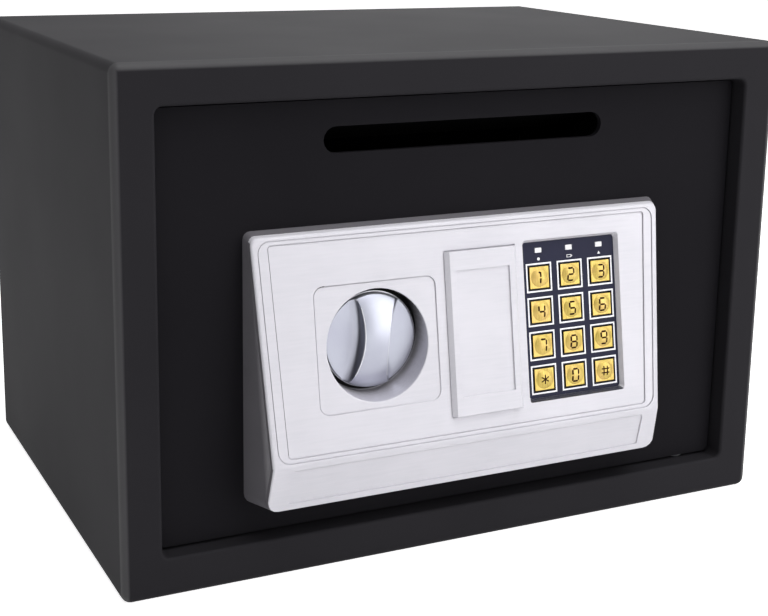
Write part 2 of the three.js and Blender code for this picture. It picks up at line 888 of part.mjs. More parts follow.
// Bowl: a dished cup round the knob, turned round the knob's own axis.
function bowlProfile(spread) {
  const mouth = panelCreaseDepth + overrun;
  const depth = mouth - (doorFront - bowlFloorY);
  const profile = [[0, 0]];
  for (let i = 0; i <= edgeSteps; i++) {
    const share = i / edgeSteps;
    const radius = bowlFloorRadius + (bowlMouthRadius - bowlFloorRadius) * share ** bowlEase;
    profile.push([radius + spread, depth * share]);
  }
  profile.push([0, depth]);
  return profile;
}
const toKnob = (geometry) => geometry.rotateX(Math.PI / 2).translate(knobX, bowlFloorY, knobZ);
const bowlVoid = toKnob(turned(bowlProfile(0), knobSteps));
const cupProfile = bowlProfile(bowlWall).map(([r, h]) => [r, h - (h === 0 ? bowlWall : 0)]);
const bowlCup = common(
  toKnob(turned([[0, -bowlWall], [bowlFloorRadius + bowlWall, -bowlWall],
    ...cupProfile.slice(2)], knobSteps)),
  behindFace(faceThickness / 2),
);
const hubHole = toKnob(rod(knobHubRadius + 1, -overrun, overrun, roundSteps));
const lockHole = alongY(rod(lockRadius + lockPlay, -reach, doorFront, roundSteps))
  .translate(lockX, 0, lockZ);

const keypadTop = -fieldStep - keypadDepth;
const ledgeTop = keypadTop - keypadPlate - seatGap;

// The keypad's recess at a height above its floor, with walls that lean out.
function keypadPlan(height) {
  const spread = 2 * keypadDraft * (height / keypadDepth - 1);
  return rounded(keypadWidth + spread, keypadHeight + spread, keypadCorner, keypadAcross, keypadV);
}
const keypadPocket = onFace(loft(
  [keypadPlan(0), keypadPlan(0), keypadPlan(keypadDepth + overrun)],
  [ledgeTop, keypadTop, overrun - fieldStep],
));
const keypadWindow = onFace(raised(
  rounded(
    keypadWidth - 2 * keypadDraft - 2 * keypadLedge,
    keypadHeight - 2 * keypadDraft - 2 * keypadLedge, keypadCorner, keypadAcross, keypadV,
  ),
  [], trayOuterBack - overrun, overrun,
));
const coverPocketCut = onFace(raised(
  rounded(coverWidth + 2 * coverPlay - 1, coverHeight + 2 * coverPlay - 1, coverPlay,
    coverAcross, coverV),
  [], pocketFloor, overrun,
));
const knobSquareCut = onFace(raised(
  rounded(knobSquareWidth, knobSquareHeight, knobSquareCorner, knobAcross,
    belowTop(knobBelowTop)),
  [], -fieldStep - knobSquareStep, overrun,
));
const rimCut = onFace(raised(
  faceOutline(rimInset, rimInset / 2, slopeLength - rimInset / 2, rimCorner),
  [], -rimStep, overrun,
));
const fieldCut = onFace(raised(
  faceOutline(fieldInset, fieldEnd, slopeLength - fieldEnd, fieldCorner),
  [], -fieldStep, overrun,
));
const skirtCut = raised(
  rounded(
    2 * (creaseHalf - skirtInset), skirtLength - 2 * skirtEnd - 1, fieldCorner / 2,
    0, -skirtLength / 2,
  ),
  [], -skirtStep, overrun,
).applyMatrix4(skirtMatrix);

const faceStrip = cut(wedge, behindFace(faceThickness));
const panelFace = cut(
  join(faceStrip, trayPad, coverPad, bowlCup),
  rimCut, fieldCut, skirtCut, knobSquareCut, bowlVoid, hubHole,
  coverPocketCut, lockHole, keypadPocket, keypadWindow,
);
place("panel_face", panelFace, silverFace);

// Keypad, built in face coordinates

const faceGroup = new THREE.Group();
faceMatrix.decompose(faceGroup.position, faceGroup.quaternion, faceGroup.scale);
safe.add(faceGroup);

const keyPlaces = [];
for (let row = 0; row < keyRows; row++) {
  for (let column = 0; column < keyColumns; column++) {
    keyPlaces.push([
      keypadAcross + (column - (keyColumns - 1) / 2) * keyPitchAcross,
      belowTop(firstKeyBelowTop + row * keyPitchDown),
    ]);
  }
}
const lampPlaces = [-1, 0, 1].map((side) => (
  [keypadAcross + side * lampAcross, belowTop(lampBelowTop)]
));
const plateHoles = [
  ...keyPlaces.map(([x, y]) => (
    rounded(keyWidth + 2 * keyGap, keyHeight + 2 * keyGap, keyCorner, x, y, keySteps)
  )),
  ...lampPlaces.map(([x, y]) => (
    points(...[[-1, -1], [1, -1], [1, 1], [-1, 1]].map(([sx, sy]) => (
      [x + sx * (lampWidth / 2 + lampPlay), y + sy * (lampHeight / 2 + lampPlay)]
    )))
  )),
];
const keypadPlateSolid = cut(
  raised(
    rounded(
      keypadWidth - 2 * keypadDraft - 2 * lampPlay,
      keypadHeight - 2 * keypadDraft - 2 * lampPlay, keypadCorner, keypadAcross, keypadV,
    ),
    [], keypadTop - keypadPlate, keypadTop,
  ),
  ...plateHoles.map((hole) => raised(hole, [], keypadTop - overrun, keypadTop + overrun)),
);
place("keypad_plate", keypadPlateSolid, navyPlate, faceGroup);

// A key: a low cap with a round bulge, and a flange that holds it behind the plate.
function keyCap() {
  const flangeTop = -keypadPlate - seatGap;
  const flange = boxBetween(
    -keyWidth / 2 - keyGap - keyFlange, keyWidth / 2 + keyGap + keyFlange,
    -keyHeight / 2 - keyGap - keyFlange, keyHeight / 2 + keyGap + keyFlange,
    flangeTop - keyFlangeThickness, flangeTop,
  );
  const cap = raised(
    rounded(keyWidth, keyHeight, keyCorner, 0, 0, keySteps),
    [], flangeTop - keyFlangeThickness / 2, keyProud,
  );
  const ballRadius = (keyDomeRadius ** 2 + keyDome ** 2) / (2 * keyDome);
  const profile = [[0, 0], [keyDomeRadius, 0]];
  for (let i = 0; i <= edgeSteps; i++) {
    const r = keyDomeRadius * (1 - i / edgeSteps);
    profile.push([r, keyProud + keyDome - ballRadius + Math.sqrt(ballRadius ** 2 - r ** 2)]);
  }
  return join(flange, cap, turned(profile, smallSteps));
}
const keyNames = ["1", "2", "3", "4", "5", "6", "7", "8", "9", "star", "0", "hash"];
keyPlaces.forEach(([x, y], i) => {
  const key = place("key_" + keyNames[i], keyCap(), goldKey, faceGroup);
  key.position.set(x, y, keypadTop);
});

const lampNames = ["left_lamp", "middle_lamp", "right_lamp"];
lampPlaces.forEach(([x, y], i) => {
  const lamp = place(
    lampNames[i],
    new THREE.BoxGeometry(lampWidth, lampHeight, keypadPlate + 2 * lampProud),
    lampWhite, faceGroup,
  );
  lamp.position.set(x, y, keypadTop - keypadPlate / 2);
});

const keyBack = keypadTop - keypadPlate - seatGap - keyFlangeThickness;
const membraneTop = keyBack - keyTravel - seatGap / 2;
const boardTop = membraneTop - membraneThickness - seatGap / 2;
const padWidth = keypadWidth - 2 * keypadDraft - 2 * keypadLedge - 2;
const padTop = keypadV + keypadHeight / 2 - boardTopCut;
const padBottom = keypadV - keypadHeight / 2 + keypadDraft + keypadLedge + 1;
const membrane = raised(
  roundedBetween(keypadAcross - padWidth / 2, keypadAcross + padWidth / 2, padBottom, padTop,
    keyCorner),
  [], membraneTop - membraneThickness, membraneTop,
);
place("keypad_membrane", membrane, rubber, faceGroup);

const chips = [0.25, 0.6].map((share) => (
  boxBetween(
    keypadAcross - chipSize / 2, keypadAcross + chipSize / 2,
    padBottom + share * (padTop - padBottom) - chipSize / 2,
    padBottom + share * (padTop - padBottom) + chipSize / 2,
    boardTop - boardThickness - chipThickness, boardTop - boardThickness / 2,
  )
));
const board = raised(
  roundedBetween(keypadAcross - padWidth / 2, keypadAcross + padWidth / 2, padBottom, padTop,
    keyCorner),
  [], boardTop - boardThickness, boardTop,
);
place("circuit_board", join(board, chips[0]), boardGreen, faceGroup);

// Key cover: a plate with bevelled long sides and a sunk middle, seated in its pocket.
function keyCover() {
  const half = coverWidth / 2 - coverPlay - 1 / 2;
  const length = coverHeight - 2 * coverPlay - 1;
  const low = pocketFloor + seatGap;
  const high = coverProud - fieldStep;
  const wide = coverWidth / 2;
  const section = points(
    [-half, low], [half, low], [half, seatGap - fieldStep], [wide, seatGap - fieldStep],
    [wide, 1 / 2 - fieldStep], [wide - coverBevel, high], [coverBevel - wide, high],
    [-wide, 1 / 2 - fieldStep], [-wide, seatGap - fieldStep], [-half, seatGap - fieldStep],
  );
  const body = raised(section, [], -length / 2, length / 2).rotateX(Math.PI / 2);
  const sunk = raised(
    rounded(coverWidth - 2 * coverInsetSide, coverHeight - 2 * coverInsetEnd, coverPlay),
    [], high - coverInsetStep, overrun,
  );
  return cut(body, sunk);
}
const keyCoverMesh = place("key_cover", keyCover(), silverFace, faceGroup);
keyCoverMesh.position.set(coverAcross, coverV, 0);

// Override lock: a barrel clamped through the door, with a plug that turns a tail.
const lockFront = creaseY + (slopeLength - coverBelowTop) * Math.sin(slopeAngle) + lockFrontSink;
const nutBack = doorBack + lockNutThickness;
const lockBarrel = cut(
  join(
    alongY(rod(lockRadius, lockFront, nutBack, roundSteps)),
    alongY(rod(lockNutRadius, doorBack, nutBack, 6)),
  ),
  alongY(rod(plugRadius + plugPlay, lockFront - overrun, nutBack + overrun, roundSteps)),
).translate(lockX, 0, lockZ);
place("lock_barrel", lockBarrel, bareSteel);

const tailBack = nutBack + seatGap + tailThickness;
const lockPlug = cut(
  join(
    alongY(rod(plugRadius, lockFront, tailBack, roundSteps)),
    boxBetween(-tailWidth / 2, tailWidth / 2, nutBack + seatGap, tailBack, 0, tailLength),
  ),
  boxBetween(-keywayWidth / 2, keywayWidth / 2, lockFront - overrun, lockFront + keywayDepth,
    -keywayHeight / 2, keywayHeight / 2),
).translate(lockX, 0, lockZ);
place("lock_plug", lockPlug, brass);

// Knob, spindle and cam, built round the knob's axis: X right, Y up, Z towards the user

const knobGroup = new THREE.Group();
knobGroup.position.set(knobX, knobY, knobZ);
knobGroup.rotation.x = Math.PI / 2;
safe.add(knobGroup);

// A low dome with a scoop on each side, which leaves a waisted grip between them.
function knobBody() {
  const profile = [
    [0, -knobHubReach], [knobHubRadius, -knobHubReach], [knobHubRadius, 0],
    [knobRadius - knobEase, 0], [knobRadius, knobEase],
  ];
  for (let i = 0; i <= domeSteps; i++) {
    const a = Math.PI / 2 * i / domeSteps;
    profile.push([knobRadius * Math.cos(a), knobRim + knobDome * Math.sin(a)]);
  }
  profile.at(-1)[0] = 0;
  const scoopProfile = [[0, knobScoopFloor]];
  for (let i = 0; i <= edgeSteps; i++) {
    const a = Math.PI / 2 * i / edgeSteps;
    scoopProfile.push([
      knobScoopRadius - knobScoopFillet * (1 - Math.sin(a)),
      knobScoopFloor + knobScoopFillet * (1 - Math.cos(a)),
    ]);
  }
  const clear = knobRim + knobDome + overrun;
  scoopProfile.push([knobScoopRadius, clear], [0, clear]);
  const scoops = [-1, 1].map((side) => (
    turned(scoopProfile, scoopSteps).translate(side * (knobWaist + knobScoopRadius), 0, 0)
  ));
  const bore = rod(spindleRadius + spindlePlay, -knobHubReach - overrun, knobBoreDepth, roundSteps);
  return cut(turned(profile, knobSteps), ...scoops, bore);
}
const knob = place("knob", knobBody(), knobMetal, knobGroup);
knob.rotation.z = -knobLean * degree;

const camFrontLocal = knobY - camFront;
const camBackLocal = knobY - camBack;
const spindleEnd = camBackLocal - (plateFront - camBack) / 2;
const spindle = rod(spindleRadius, spindleEnd, knobBoreDepth - seatGap, roundSteps);
place("knob_spindle", spindle, bareSteel, knobGroup);

// The cam's rim: a low stretch lets the plunger out when the bolts are drawn back, a ramp
// leads up to the full rim, and a notch takes the plunger when they are thrown.
function camOutline() {
  return circle(0, 0, 1, camSteps).map((unit) => {
    const angle = Math.atan2(unit.y, unit.x) / degree;
    const before = -90 - angle;
    let radius = camRadius;
    if (before >= -camLowAfter && before <= camLowBefore) {
      radius = camLowRadius;
    } else if (before > camLowBefore && before < camLowBefore + camRamp) {
      const share = (before - camLowBefore) / camRamp;
      radius = camLowRadius + (camRadius - camLowRadius) * share;
    }
    return unit.clone().multiplyScalar(radius);
  });
}
const notchAngle = (-90 - knobTurn) * degree;
const notch = boxBetween(
  camLowRadius, camRadius + overrun, -camNotchWidth / 2, camNotchWidth / 2,
  camBackLocal - overrun, camFrontLocal + overrun,
).rotateZ(notchAngle);
const crankPin = rod(crankPinRadius, camBackLocal - crankPinReach, camBackLocal + 1, roundSteps)
  .translate(crankRadius * Math.cos(crankStart), crankRadius * Math.sin(crankStart), 0);
const cam = cut(
  join(raised(camOutline(), [], camBackLocal, camFrontLocal), crankPin),
  notch,
  rod(spindleRadius + spindlePlay, camBackLocal - overrun / 2, camFrontLocal + overrun, roundSteps),
);
place("bolt_cam", cam, zincSteel, knobGroup);

// Bolts on their plate

const stripZ0 = crankHighZ - stripHeight + crankPinRadius + boltMargin + crankSlotPlay;
const stripZ1 = crankHighZ + crankPinRadius + crankSlotPlay + boltMargin + 2;
const stripX1 = crankX + crankPinRadius + stripEndMargin;
const guideX = flangeX + guideFromFlange;
const guideZs = [stripZ0 + guideStudRadius + boltMargin, stripZ1 - guideStudRadius - boltMargin];
const guideSlotLength = boltTravel + 2 * guideStudRadius + 2 * guidePlay;
const crankSlotHeight = crankHighZ - crankLowZ + 2 * (crankPinRadius + crankSlotPlay)
  + 2 * guidePlay;
const crankSlotWidth = 2 * (crankPinRadius + crankSlotPlay);
const crankSlot = obround(crankSlotHeight, crankSlotWidth, 0, 0, cornerSteps).map((p) => (
  new THREE.Vector2(crankX - p.y, (crankLowZ + crankHighZ) / 2 + p.x)
));
const guideSlots = guideZs.map((z) => (
  obround(guideSlotLength, 2 * (guideStudRadius + guidePlay), guideX + boltTravel / 2, z,
    cornerSteps)
));
const plateOutline = points(
  [flangeX, tallZ0], [flangeX + tallLandWidth, tallZ0], [flangeX + tallLandWidth, stripZ0],
  [stripX1, stripZ0], [stripX1, stripZ1], [flangeX + tallLandWidth, stripZ1],
  [flangeX + tallLandWidth, tallZ1], [flangeX, tallZ1],
);
const boltPlate = join(
  upright(plateOutline, [crankSlot, ...guideSlots], plateFront, plateBack),
  boxBetween(flangeX, flangeX + boltPlateThickness, plateFront, flangeBack, tallZ0, tallZ1),
);
place("bolt_plate", boltPlate, zincSteel);

["lower_bolt", "upper_bolt"].forEach((name, i) => {
  const bolt = alongX(turned([
    [0, boltTipX], [boltRadius - boltTipChamfer, boltTipX], [boltRadius, boltTipX + boltTipChamfer],
    [boltRadius, flangeX], [0, flangeX],
  ], roundSteps));
  place(name, bolt.translate(0, boltY, boltZs[i]), bareSteel);
});

["lower_guide_stud", "upper_guide_stud"].forEach((name, i) => {
  const headStart = plateBack + guidePlay;
  const stud = alongY(turned([
    [0, doorBack], [guideStudRadius, doorBack], [guideStudRadius, headStart],
    [guideHeadRadius, headStart], [guideHeadRadius, headStart + guideHead],
    [0, headStart + guideHead],
  ], smallSteps));
  place(name, stud.translate(guideX, 0, guideZs[i]), bareSteel);
});

const bracketZ0 = tallZ0 - bracketMargin / 2;
const bracketZ1 = tallZ1 + bracketMargin / 2;
const bracketBack = boltY + boltRadius + bracketMargin / 2;
const boltBores = boltZs.map((z) => (
  alongX(rod(boltRadius + bracketPlay, bracketX - overrun, bracketX + overrun, roundSteps))
    .translate(0, boltY, z)
));
const boltBracket = cut(
  join(
    boxBetween(bracketX, bracketX + bracketSheet, doorBack, bracketBack, bracketZ0, bracketZ1),
    boxBetween(bracketX - bracketFoot, bracketX + bracketSheet, doorBack, doorBack + bracketSheet,
      bracketZ0, bracketZ1),
  ),
  ...boltBores,
);
place("bolt_bracket", boltBracket, zincSteel);

// Solenoid: a coil in a folded frame, with a plunger that rises into the cam's notch

const coilX0 = knobX - coilWidth / 2;
const coilX1 = knobX + coilWidth / 2;
const plungerY = doorBack + coilBehindDoor + coilDepth / 2;
const solenoid = cut(
  join(
    rod(coilWidth / 2 - coilFrameSheet, coilBottom, coilTop, roundSteps)
      .translate(knobX, plungerY, 0),
    boxBetween(coilX0, coilX1, doorBack, plungerY + coilDepth / 2, coilTop - coilFrameSheet,
      coilTop),
    boxBetween(coilX0, coilX1, doorBack, plungerY + coilDepth / 2, coilBottom,
      coilBottom + coilFrameSheet),
    boxBetween(coilX0, coilX1, doorBack, doorBack + coilFrameSheet, coilBottom, coilTop),
    boxBetween(coilX1 - overrun, coilX1 + coilFoot, doorBack, doorBack + coilFrameSheet,
      coilBottom + overrun, coilTop - overrun),
  ),
  rod(plungerRadius + plungerPlay, coilBottom - overrun, coilTop + overrun, roundSteps)
    .translate(knobX, plungerY, 0),
);
place("solenoid", solenoid, coilWrap);

const bladeFrontY = camFront;
const plunger = join(
  rod(plungerRadius, coilTop - plungerSink, lugTop, roundSteps).translate(knobX, plungerY, 0),
  boxBetween(knobX - bladeWidth / 2, knobX + bladeWidth / 2, bladeFrontY,
    plungerY + plungerRadius, lugBottom, lugTop),
  boxBetween(knobX - bladeWidth / 2, knobX + bladeWidth / 2, bladeFrontY,
    camBack, lugBottom, bladeTipZ),
);
place("solenoid_plunger", plunger, bareSteel);

// An open coil spring round the plunger, between the solenoid and the blade's lug.
function plungerSpring() {
  const rise = springRoom - springWire - 2 * seatGap;
  const path = new THREE.Curve();
  path.getPoint = (t, target = new THREE.Vector3()) => {
    const a = 2 * Math.PI * springTurns * t;
    return target.set(springRadius * Math.cos(a), springRadius * Math.sin(a), rise * t);
  };
  const section = new THREE.Shape(circle(0, 0, springWire / 2, springSides));
  const geometry = new THREE.ExtrudeGeometry(section, {
    steps: springTurns * springSteps,
    extrudePath: path,
    bevelEnabled: false,
  });
  return facingOut(geometry.translate(knobX, plungerY, coilTop + springWire / 2 + seatGap));
}
place("plunger_spring", plungerSpring(), bareSteel);

// Cover over the mechanism

const boxX1 = mechX1 - boxFromRight;
const boxInnerWidth = cellCount * cellPitch + 2 * cellPlay;
const boxX0 = boxX1 - boxInnerWidth - 2 * boxWall;
const boxInnerHeight = cellLength + 2 * boxEndRoom;
const boxZ0 = mechZ0 + boxFromBottom;
const boxZ1 = boxZ0 + boxInnerHeight + 2 * boxWall;
const boxMouth = mechBack - mechSheet;
const boxFloor = boxMouth - 2 * cellRadius - 2 * cellPlay - lidPlug - 2 * cellPlay;
const resetX = mechX1 - resetFromRight / 2 - mechSheet;
const resetZ = mechZ1 - resetFromTop;

const mechOutline = roundedBetween(mechX0, mechX1, mechZ0, mechZ1, mechCorner);
const mechInner = roundedBetween(mechX0 + mechSheet, mechX1 - mechSheet, mechZ0 + mechSheet,
  mechZ1 - mechSheet, mechCorner - mechSheet);
const mechFeet = [mechX0 - mechFlange, mechX1 + mechFlange];
const studPlaces = mechFeet.flatMap((x, i) => {
  const studX = i === 0 ? x + mechFlange / 2 : x - mechFlange / 2;
  const height = mechZ1 - mechZ0;
  return [
    [studX, mechZ0 + studRiseShare * height],
    [studX, mechZ1 - studRiseShare * height],
  ];
});
const mechFlanges = upright(
  roundedBetween(mechFeet[0], mechFeet[1], mechZ0, mechZ1, mechCorner),
  [], doorBack, doorBack + mechSheet,
);
const boltWallBores = boltZs.map((z) => (
  alongX(rod(boltRadius + boltWallPlay, mechX0 - overrun, mechX0 + overrun, roundSteps))
    .translate(0, boltY, z)
));
const studBores = studPlaces.map(([x, z]) => (
  alongY(rod(studRadius + studPlay, doorBack - overrun, doorBack + overrun, smallSteps))
    .translate(x, 0, z)
));
const mechanismCover = cut(
  join(upright(mechOutline, [], doorBack, mechBack), mechFlanges),
  upright(mechInner, [], doorBack - overrun, mechBack - mechSheet),
  ...boltWallBores, ...studBores,
  boxBetween(boxX0 + boxWall, boxX1 - boxWall, doorBack, mechBack + overrun, boxZ0 + boxWall,
    boxZ1 - boxWall),
  alongY(rod(resetRadius + resetPlay, doorBack, mechBack + overrun, smallSteps))
    .translate(resetX, 0, resetZ),
);
place("mechanism_cover", mechanismCover, doorCoat);

studPlaces.forEach(([x, z], i) => {
  const nutStart = doorBack + mechSheet;
  const stud = join(
    alongY(rod(studRadius, doorBack, nutStart + nutThickness + 1, smallSteps)),
    alongY(rod(nutAcrossCorners / 2, nutStart, nutStart + nutThickness, 6)),
  );
  place("cover_nut_" + (i + 1), stud.translate(x, 0, z), bareSteel);
});

// Battery box behind a lid in the cover

const batteryBox = cut(
  boxBetween(boxX0, boxX1, boxFloor - boxWall, boxMouth, boxZ0, boxZ1),
  boxBetween(boxX0 + boxWall, boxX1 - boxWall, boxFloor, boxMouth + overrun, boxZ0 + boxWall,
    boxZ1 - boxWall),
);
place("battery_box", batteryBox, blackPlastic);

for (let i = 0; i < cellCount; i++) {
  const x = boxX0 + boxWall + cellPlay + cellPitch * (i + 0.5);
  const tip = cellLength / 2;
  const cell = turned([
    [0, -tip], [cellRadius - cellEdge, -tip], [cellRadius, cellEdge - tip],
    [cellRadius, tip - cellNub - cellEdge], [cellRadius - cellEdge, tip - cellNub],
    [cellNubRadius, tip - cellNub], [cellNubRadius, tip], [0, tip],
  ], smallSteps);
  if (i % 2 === 1) {
    cell.rotateX(Math.PI);
  }
  place(
    "battery_" + (i + 1),
    cell.translate(x, boxFloor + cellPlay + cellRadius, (boxZ0 + boxZ1) / 2),
    cellSleeve,
  );
}

const lidPlate = boxBetween(boxX0 - lidOverlap, boxX1 + lidOverlap, mechBack, mechBack + lidSheet,
  boxZ0 - lidOverlap, boxZ1 + lidOverlap);
const lidPlugBox = boxBetween(
  boxX0 + boxWall + lidPlay, boxX1 - boxWall - lidPlay, boxMouth - lidPlug,
  mechBack + lidSheet / 2, boxZ0 + boxWall + lidPlay, boxZ1 - boxWall - lidPlay,
);
const lidGrips = [];
for (let i = 0; i < lidGripCount; i++) {
  const z = boxZ1 - boxWall - lidGripPitch * (i + 1);
  const middle = (boxX0 + boxX1) / 2;
  lidGrips.push(boxBetween(
    middle - lidGripLength / 2, middle + lidGripLength / 2, mechBack + lidSheet / 2,
    mechBack + lidSheet + lidGripHeight, z - lidGripWidth / 2, z + lidGripWidth / 2,
  ));
}
place("battery_lid", join(lidPlate, lidPlugBox, ...lidGrips), blackPlastic);

const resetSwitch = cut(
  boxBetween(resetX - resetBody / 2, resetX + resetBody / 2, boxMouth - resetBodyDepth, boxMouth,
    resetZ - resetBody / 2, resetZ + resetBody / 2),
  alongY(rod(resetRadius + resetPlay, boxMouth - resetStem - resetTravel - 1, boxMouth + overrun,
    smallSteps)).translate(resetX, 0, resetZ),
);
place("reset_switch", resetSwitch, blackPlastic);

const resetButton = alongY(turned([
  [0, boxMouth - resetStem], [resetRadius, boxMouth - resetStem],
  [resetRadius, mechBack + resetProud - resetPlay], [resetRadius - resetPlay, mechBack + resetProud],
  [0, mechBack + resetProud],
], smallSteps));
place("reset_button", resetButton.translate(resetX, 0, resetZ), redPlastic);

export default safe;
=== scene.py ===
import json
import math

import bpy
from mathutils import Matrix, Vector


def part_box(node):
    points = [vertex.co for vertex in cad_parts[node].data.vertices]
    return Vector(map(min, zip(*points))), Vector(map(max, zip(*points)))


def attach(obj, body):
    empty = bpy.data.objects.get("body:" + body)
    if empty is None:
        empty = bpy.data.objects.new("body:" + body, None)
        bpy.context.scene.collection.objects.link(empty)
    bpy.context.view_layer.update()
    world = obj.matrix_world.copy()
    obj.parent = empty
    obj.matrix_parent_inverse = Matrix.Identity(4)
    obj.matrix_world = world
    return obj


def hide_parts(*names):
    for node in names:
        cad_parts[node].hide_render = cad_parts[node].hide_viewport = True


# Drop safe with a sloping lock panel. Lengths are in millimetres and become metres here.
mm = 0.001

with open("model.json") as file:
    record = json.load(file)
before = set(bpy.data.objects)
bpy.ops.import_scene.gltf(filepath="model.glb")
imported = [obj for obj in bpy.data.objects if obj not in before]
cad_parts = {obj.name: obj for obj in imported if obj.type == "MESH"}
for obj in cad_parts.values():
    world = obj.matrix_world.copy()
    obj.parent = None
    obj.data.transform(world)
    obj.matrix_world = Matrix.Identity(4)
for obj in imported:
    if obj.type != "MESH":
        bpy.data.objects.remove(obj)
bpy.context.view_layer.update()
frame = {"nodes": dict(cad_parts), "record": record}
bodyOf = {nodeName: bodyName
          for bodyName, nodeNames in frame["record"]["behaviour"]["bodies"].items()
          for nodeName in nodeNames}
print("frame loaded,", len(frame["nodes"]), "nodes")


def bringIn(name, data):  # a new object for a mesh, a lamp or a camera
    thing = bpy.data.objects.new(name, data)
    bpy.context.scene.collection.objects.link(thing)
    return thing


# The camera stands to the left of the safe, a little above it

cameraLook = {
    "place": (-336.4, -715.8, 310.9),
    "azimuth": 26.01,
    "elevation": 12.78,
    "roll": 0.93,
    "lens": 68.68,
    "sensor": 36,
    "shiftY": -0.1003,
    "near": 20,
}


def makeCamera(look):
    data = bpy.data.cameras.new("camera")
    camera = bringIn("camera", data)
    a, e, r = (math.radians(look[key]) for key in ("azimuth", "elevation", "roll"))
    ahead = Vector((math.sin(a) * math.cos(e), math.cos(a) * math.cos(e), -math.sin(e)))
    right = Vector((math.cos(a), -math.sin(a), 0))
    up = right.cross(ahead)
    rightRolled = right * math.cos(r) + up * math.sin(r)
    upRolled = up * math.cos(r) - right * math.sin(r)
    turn = Matrix((rightRolled, upRolled, -ahead)).transposed().to_4x4()
    camera.matrix_world = Matrix.Translation(Vector(look["place"]) * mm) @ turn
    data.lens = look["lens"]
    data.sensor_width = look["sensor"]
    data.shift_y = look["shiftY"]
    data.clip_start = look["near"] * mm
    bpy.context.scene.camera = camera


makeCamera(cameraLook)
print("camera placed")


# Tools of the bench

def deselectAll():
    if bpy.context.mode != "OBJECT":
        bpy.ops.object.mode_set(mode="OBJECT")
    bpy.ops.object.select_all(action="DESELECT")


def pickUp(piece):
    deselectAll()
    piece.select_set(True)
    bpy.context.view_layer.objects.active = piece


def christen(name):  # the primitive that was just added
    piece = bpy.context.object
    piece.name = name
    piece.data.name = name
    return piece


def openMesh(piece):  # into edit mode, with all of it selected
    pickUp(piece)
    bpy.ops.object.mode_set(mode="EDIT")
    bpy.ops.mesh.select_all(action="SELECT")


def closeMesh():
    bpy.ops.object.mode_set(mode="OBJECT")


def turnOutwards():  # all normals of the open mesh, which is closed then
    bpy.ops.mesh.select_all(action="SELECT")
    bpy.ops.mesh.normals_make_consistent(inside=False)
    closeMesh()


def drawOut(height):  # extrudes what is selected
    bpy.ops.mesh.extrude_region_move(TRANSFORM_OT_translate={"value": (0, 0, height * mm)})


# Selects VERT, EDGE or FACE items by place or normal, or all of them.
def choose(piece, kind, test=lambda item: True):
    pickUp(piece)
    bpy.ops.object.mode_set(mode="EDIT")
    bpy.ops.mesh.select_mode(type=kind)
    bpy.ops.mesh.select_all(action="DESELECT")
    closeMesh()
    mesh = piece.data
    items = {"VERT": mesh.vertices, "EDGE": mesh.edges, "FACE": mesh.polygons}[kind]
    for item in items:
        item.select = test(item)
    bpy.ops.object.mode_set(mode="EDIT")


def applyAll(piece):
    pickUp(piece)
    for modifier in list(piece.modifiers):
        bpy.ops.object.modifier_apply(modifier=modifier.name)


def roundEdges(piece, width, segments=2, angle=35):
    bevel = piece.modifiers.new("bevel", "BEVEL")
    bevel.width = width * mm
    bevel.segments = segments
    bevel.limit_method = "ANGLE"
    bevel.angle_limit = math.radians(angle)
    applyAll(piece)


def dropSlivers(piece):  # edges with no length and faces with no area, which rounding leaves
    openMesh(piece)
    bpy.ops.mesh.dissolve_degenerate(threshold=0.001 * mm)
    closeMesh()


def smoothOver(piece, angle=40):
    dropSlivers(piece)
    bpy.ops.object.shade_smooth_by_angle(angle=math.radians(angle))
    weighted = piece.modifiers.new("weighted", "WEIGHTED_NORMAL")
    weighted.keep_sharp = True
    weighted.weight = 90
    applyAll(piece)


def setDown(piece):  # its place goes into its mesh
    pickUp(piece)
    bpy.ops.object.transform_apply(location=True, rotation=True, scale=True)


def cutAway(piece, cutter):
    boolean = piece.modifiers.new("cut", "BOOLEAN")
    boolean.operation = "DIFFERENCE"
    boolean.object = cutter
    boolean.solver = "EXACT"
    applyAll(piece)
    bpy.data.objects.remove(cutter)


def joinOnto(piece, others):
    pickUp(piece)
    for other in others:
        other.select_set(True)
    bpy.ops.object.join()
    return piece


def paint(piece, *materials):
    piece.data.materials.clear()
    for material in materials:
        piece.data.materials.append(material)


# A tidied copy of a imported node: merged, with its flat faces joined up.
def copyOf(node, name):
    piece = bringIn(name, frame["nodes"][node].data.copy())
    piece.data.name = name
    pickUp(piece)
    bpy.ops.mesh.customdata_custom_splitnormals_clear()
    openMesh(piece)
    bpy.ops.mesh.remove_doubles(threshold=0.002 * mm)
    bpy.ops.mesh.dissolve_limited(angle_limit=math.radians(0.5))
    closeMesh()
    return piece


# The same copy with its edges eased.
def softened(node, name, material, look):
    piece = copyOf(node, name)
    if look["edge"]:
        roundEdges(piece, look["edge"], look.get("segments", 2))
    smoothOver(piece)
    paint(piece, material)
    return piece


def standFor(piece, node, slotName):  # the piece rides where the node rode
    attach(piece, bodyOf[node])
    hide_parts(node)


def dress(look, *rows):  # each row has a node, its piece's name, a finish and a slot
    for node, name, material, slotName in rows:
        standFor(softened(node, name, material, look), node, slotName)


# Finishes. Their patterns read object coordinates, so they stay on a piece as it moves

def tint(code):  # a hex colour in Blender's linear numbers
    parts = [int(code[i:i + 2], 16) / 255 for i in (0, 2, 4)]
    linear = [c / 12.92 if c <= 0.04045 else ((c + 0.055) / 1.055) ** 2.4 for c in parts]
    return (*linear, 1.0)


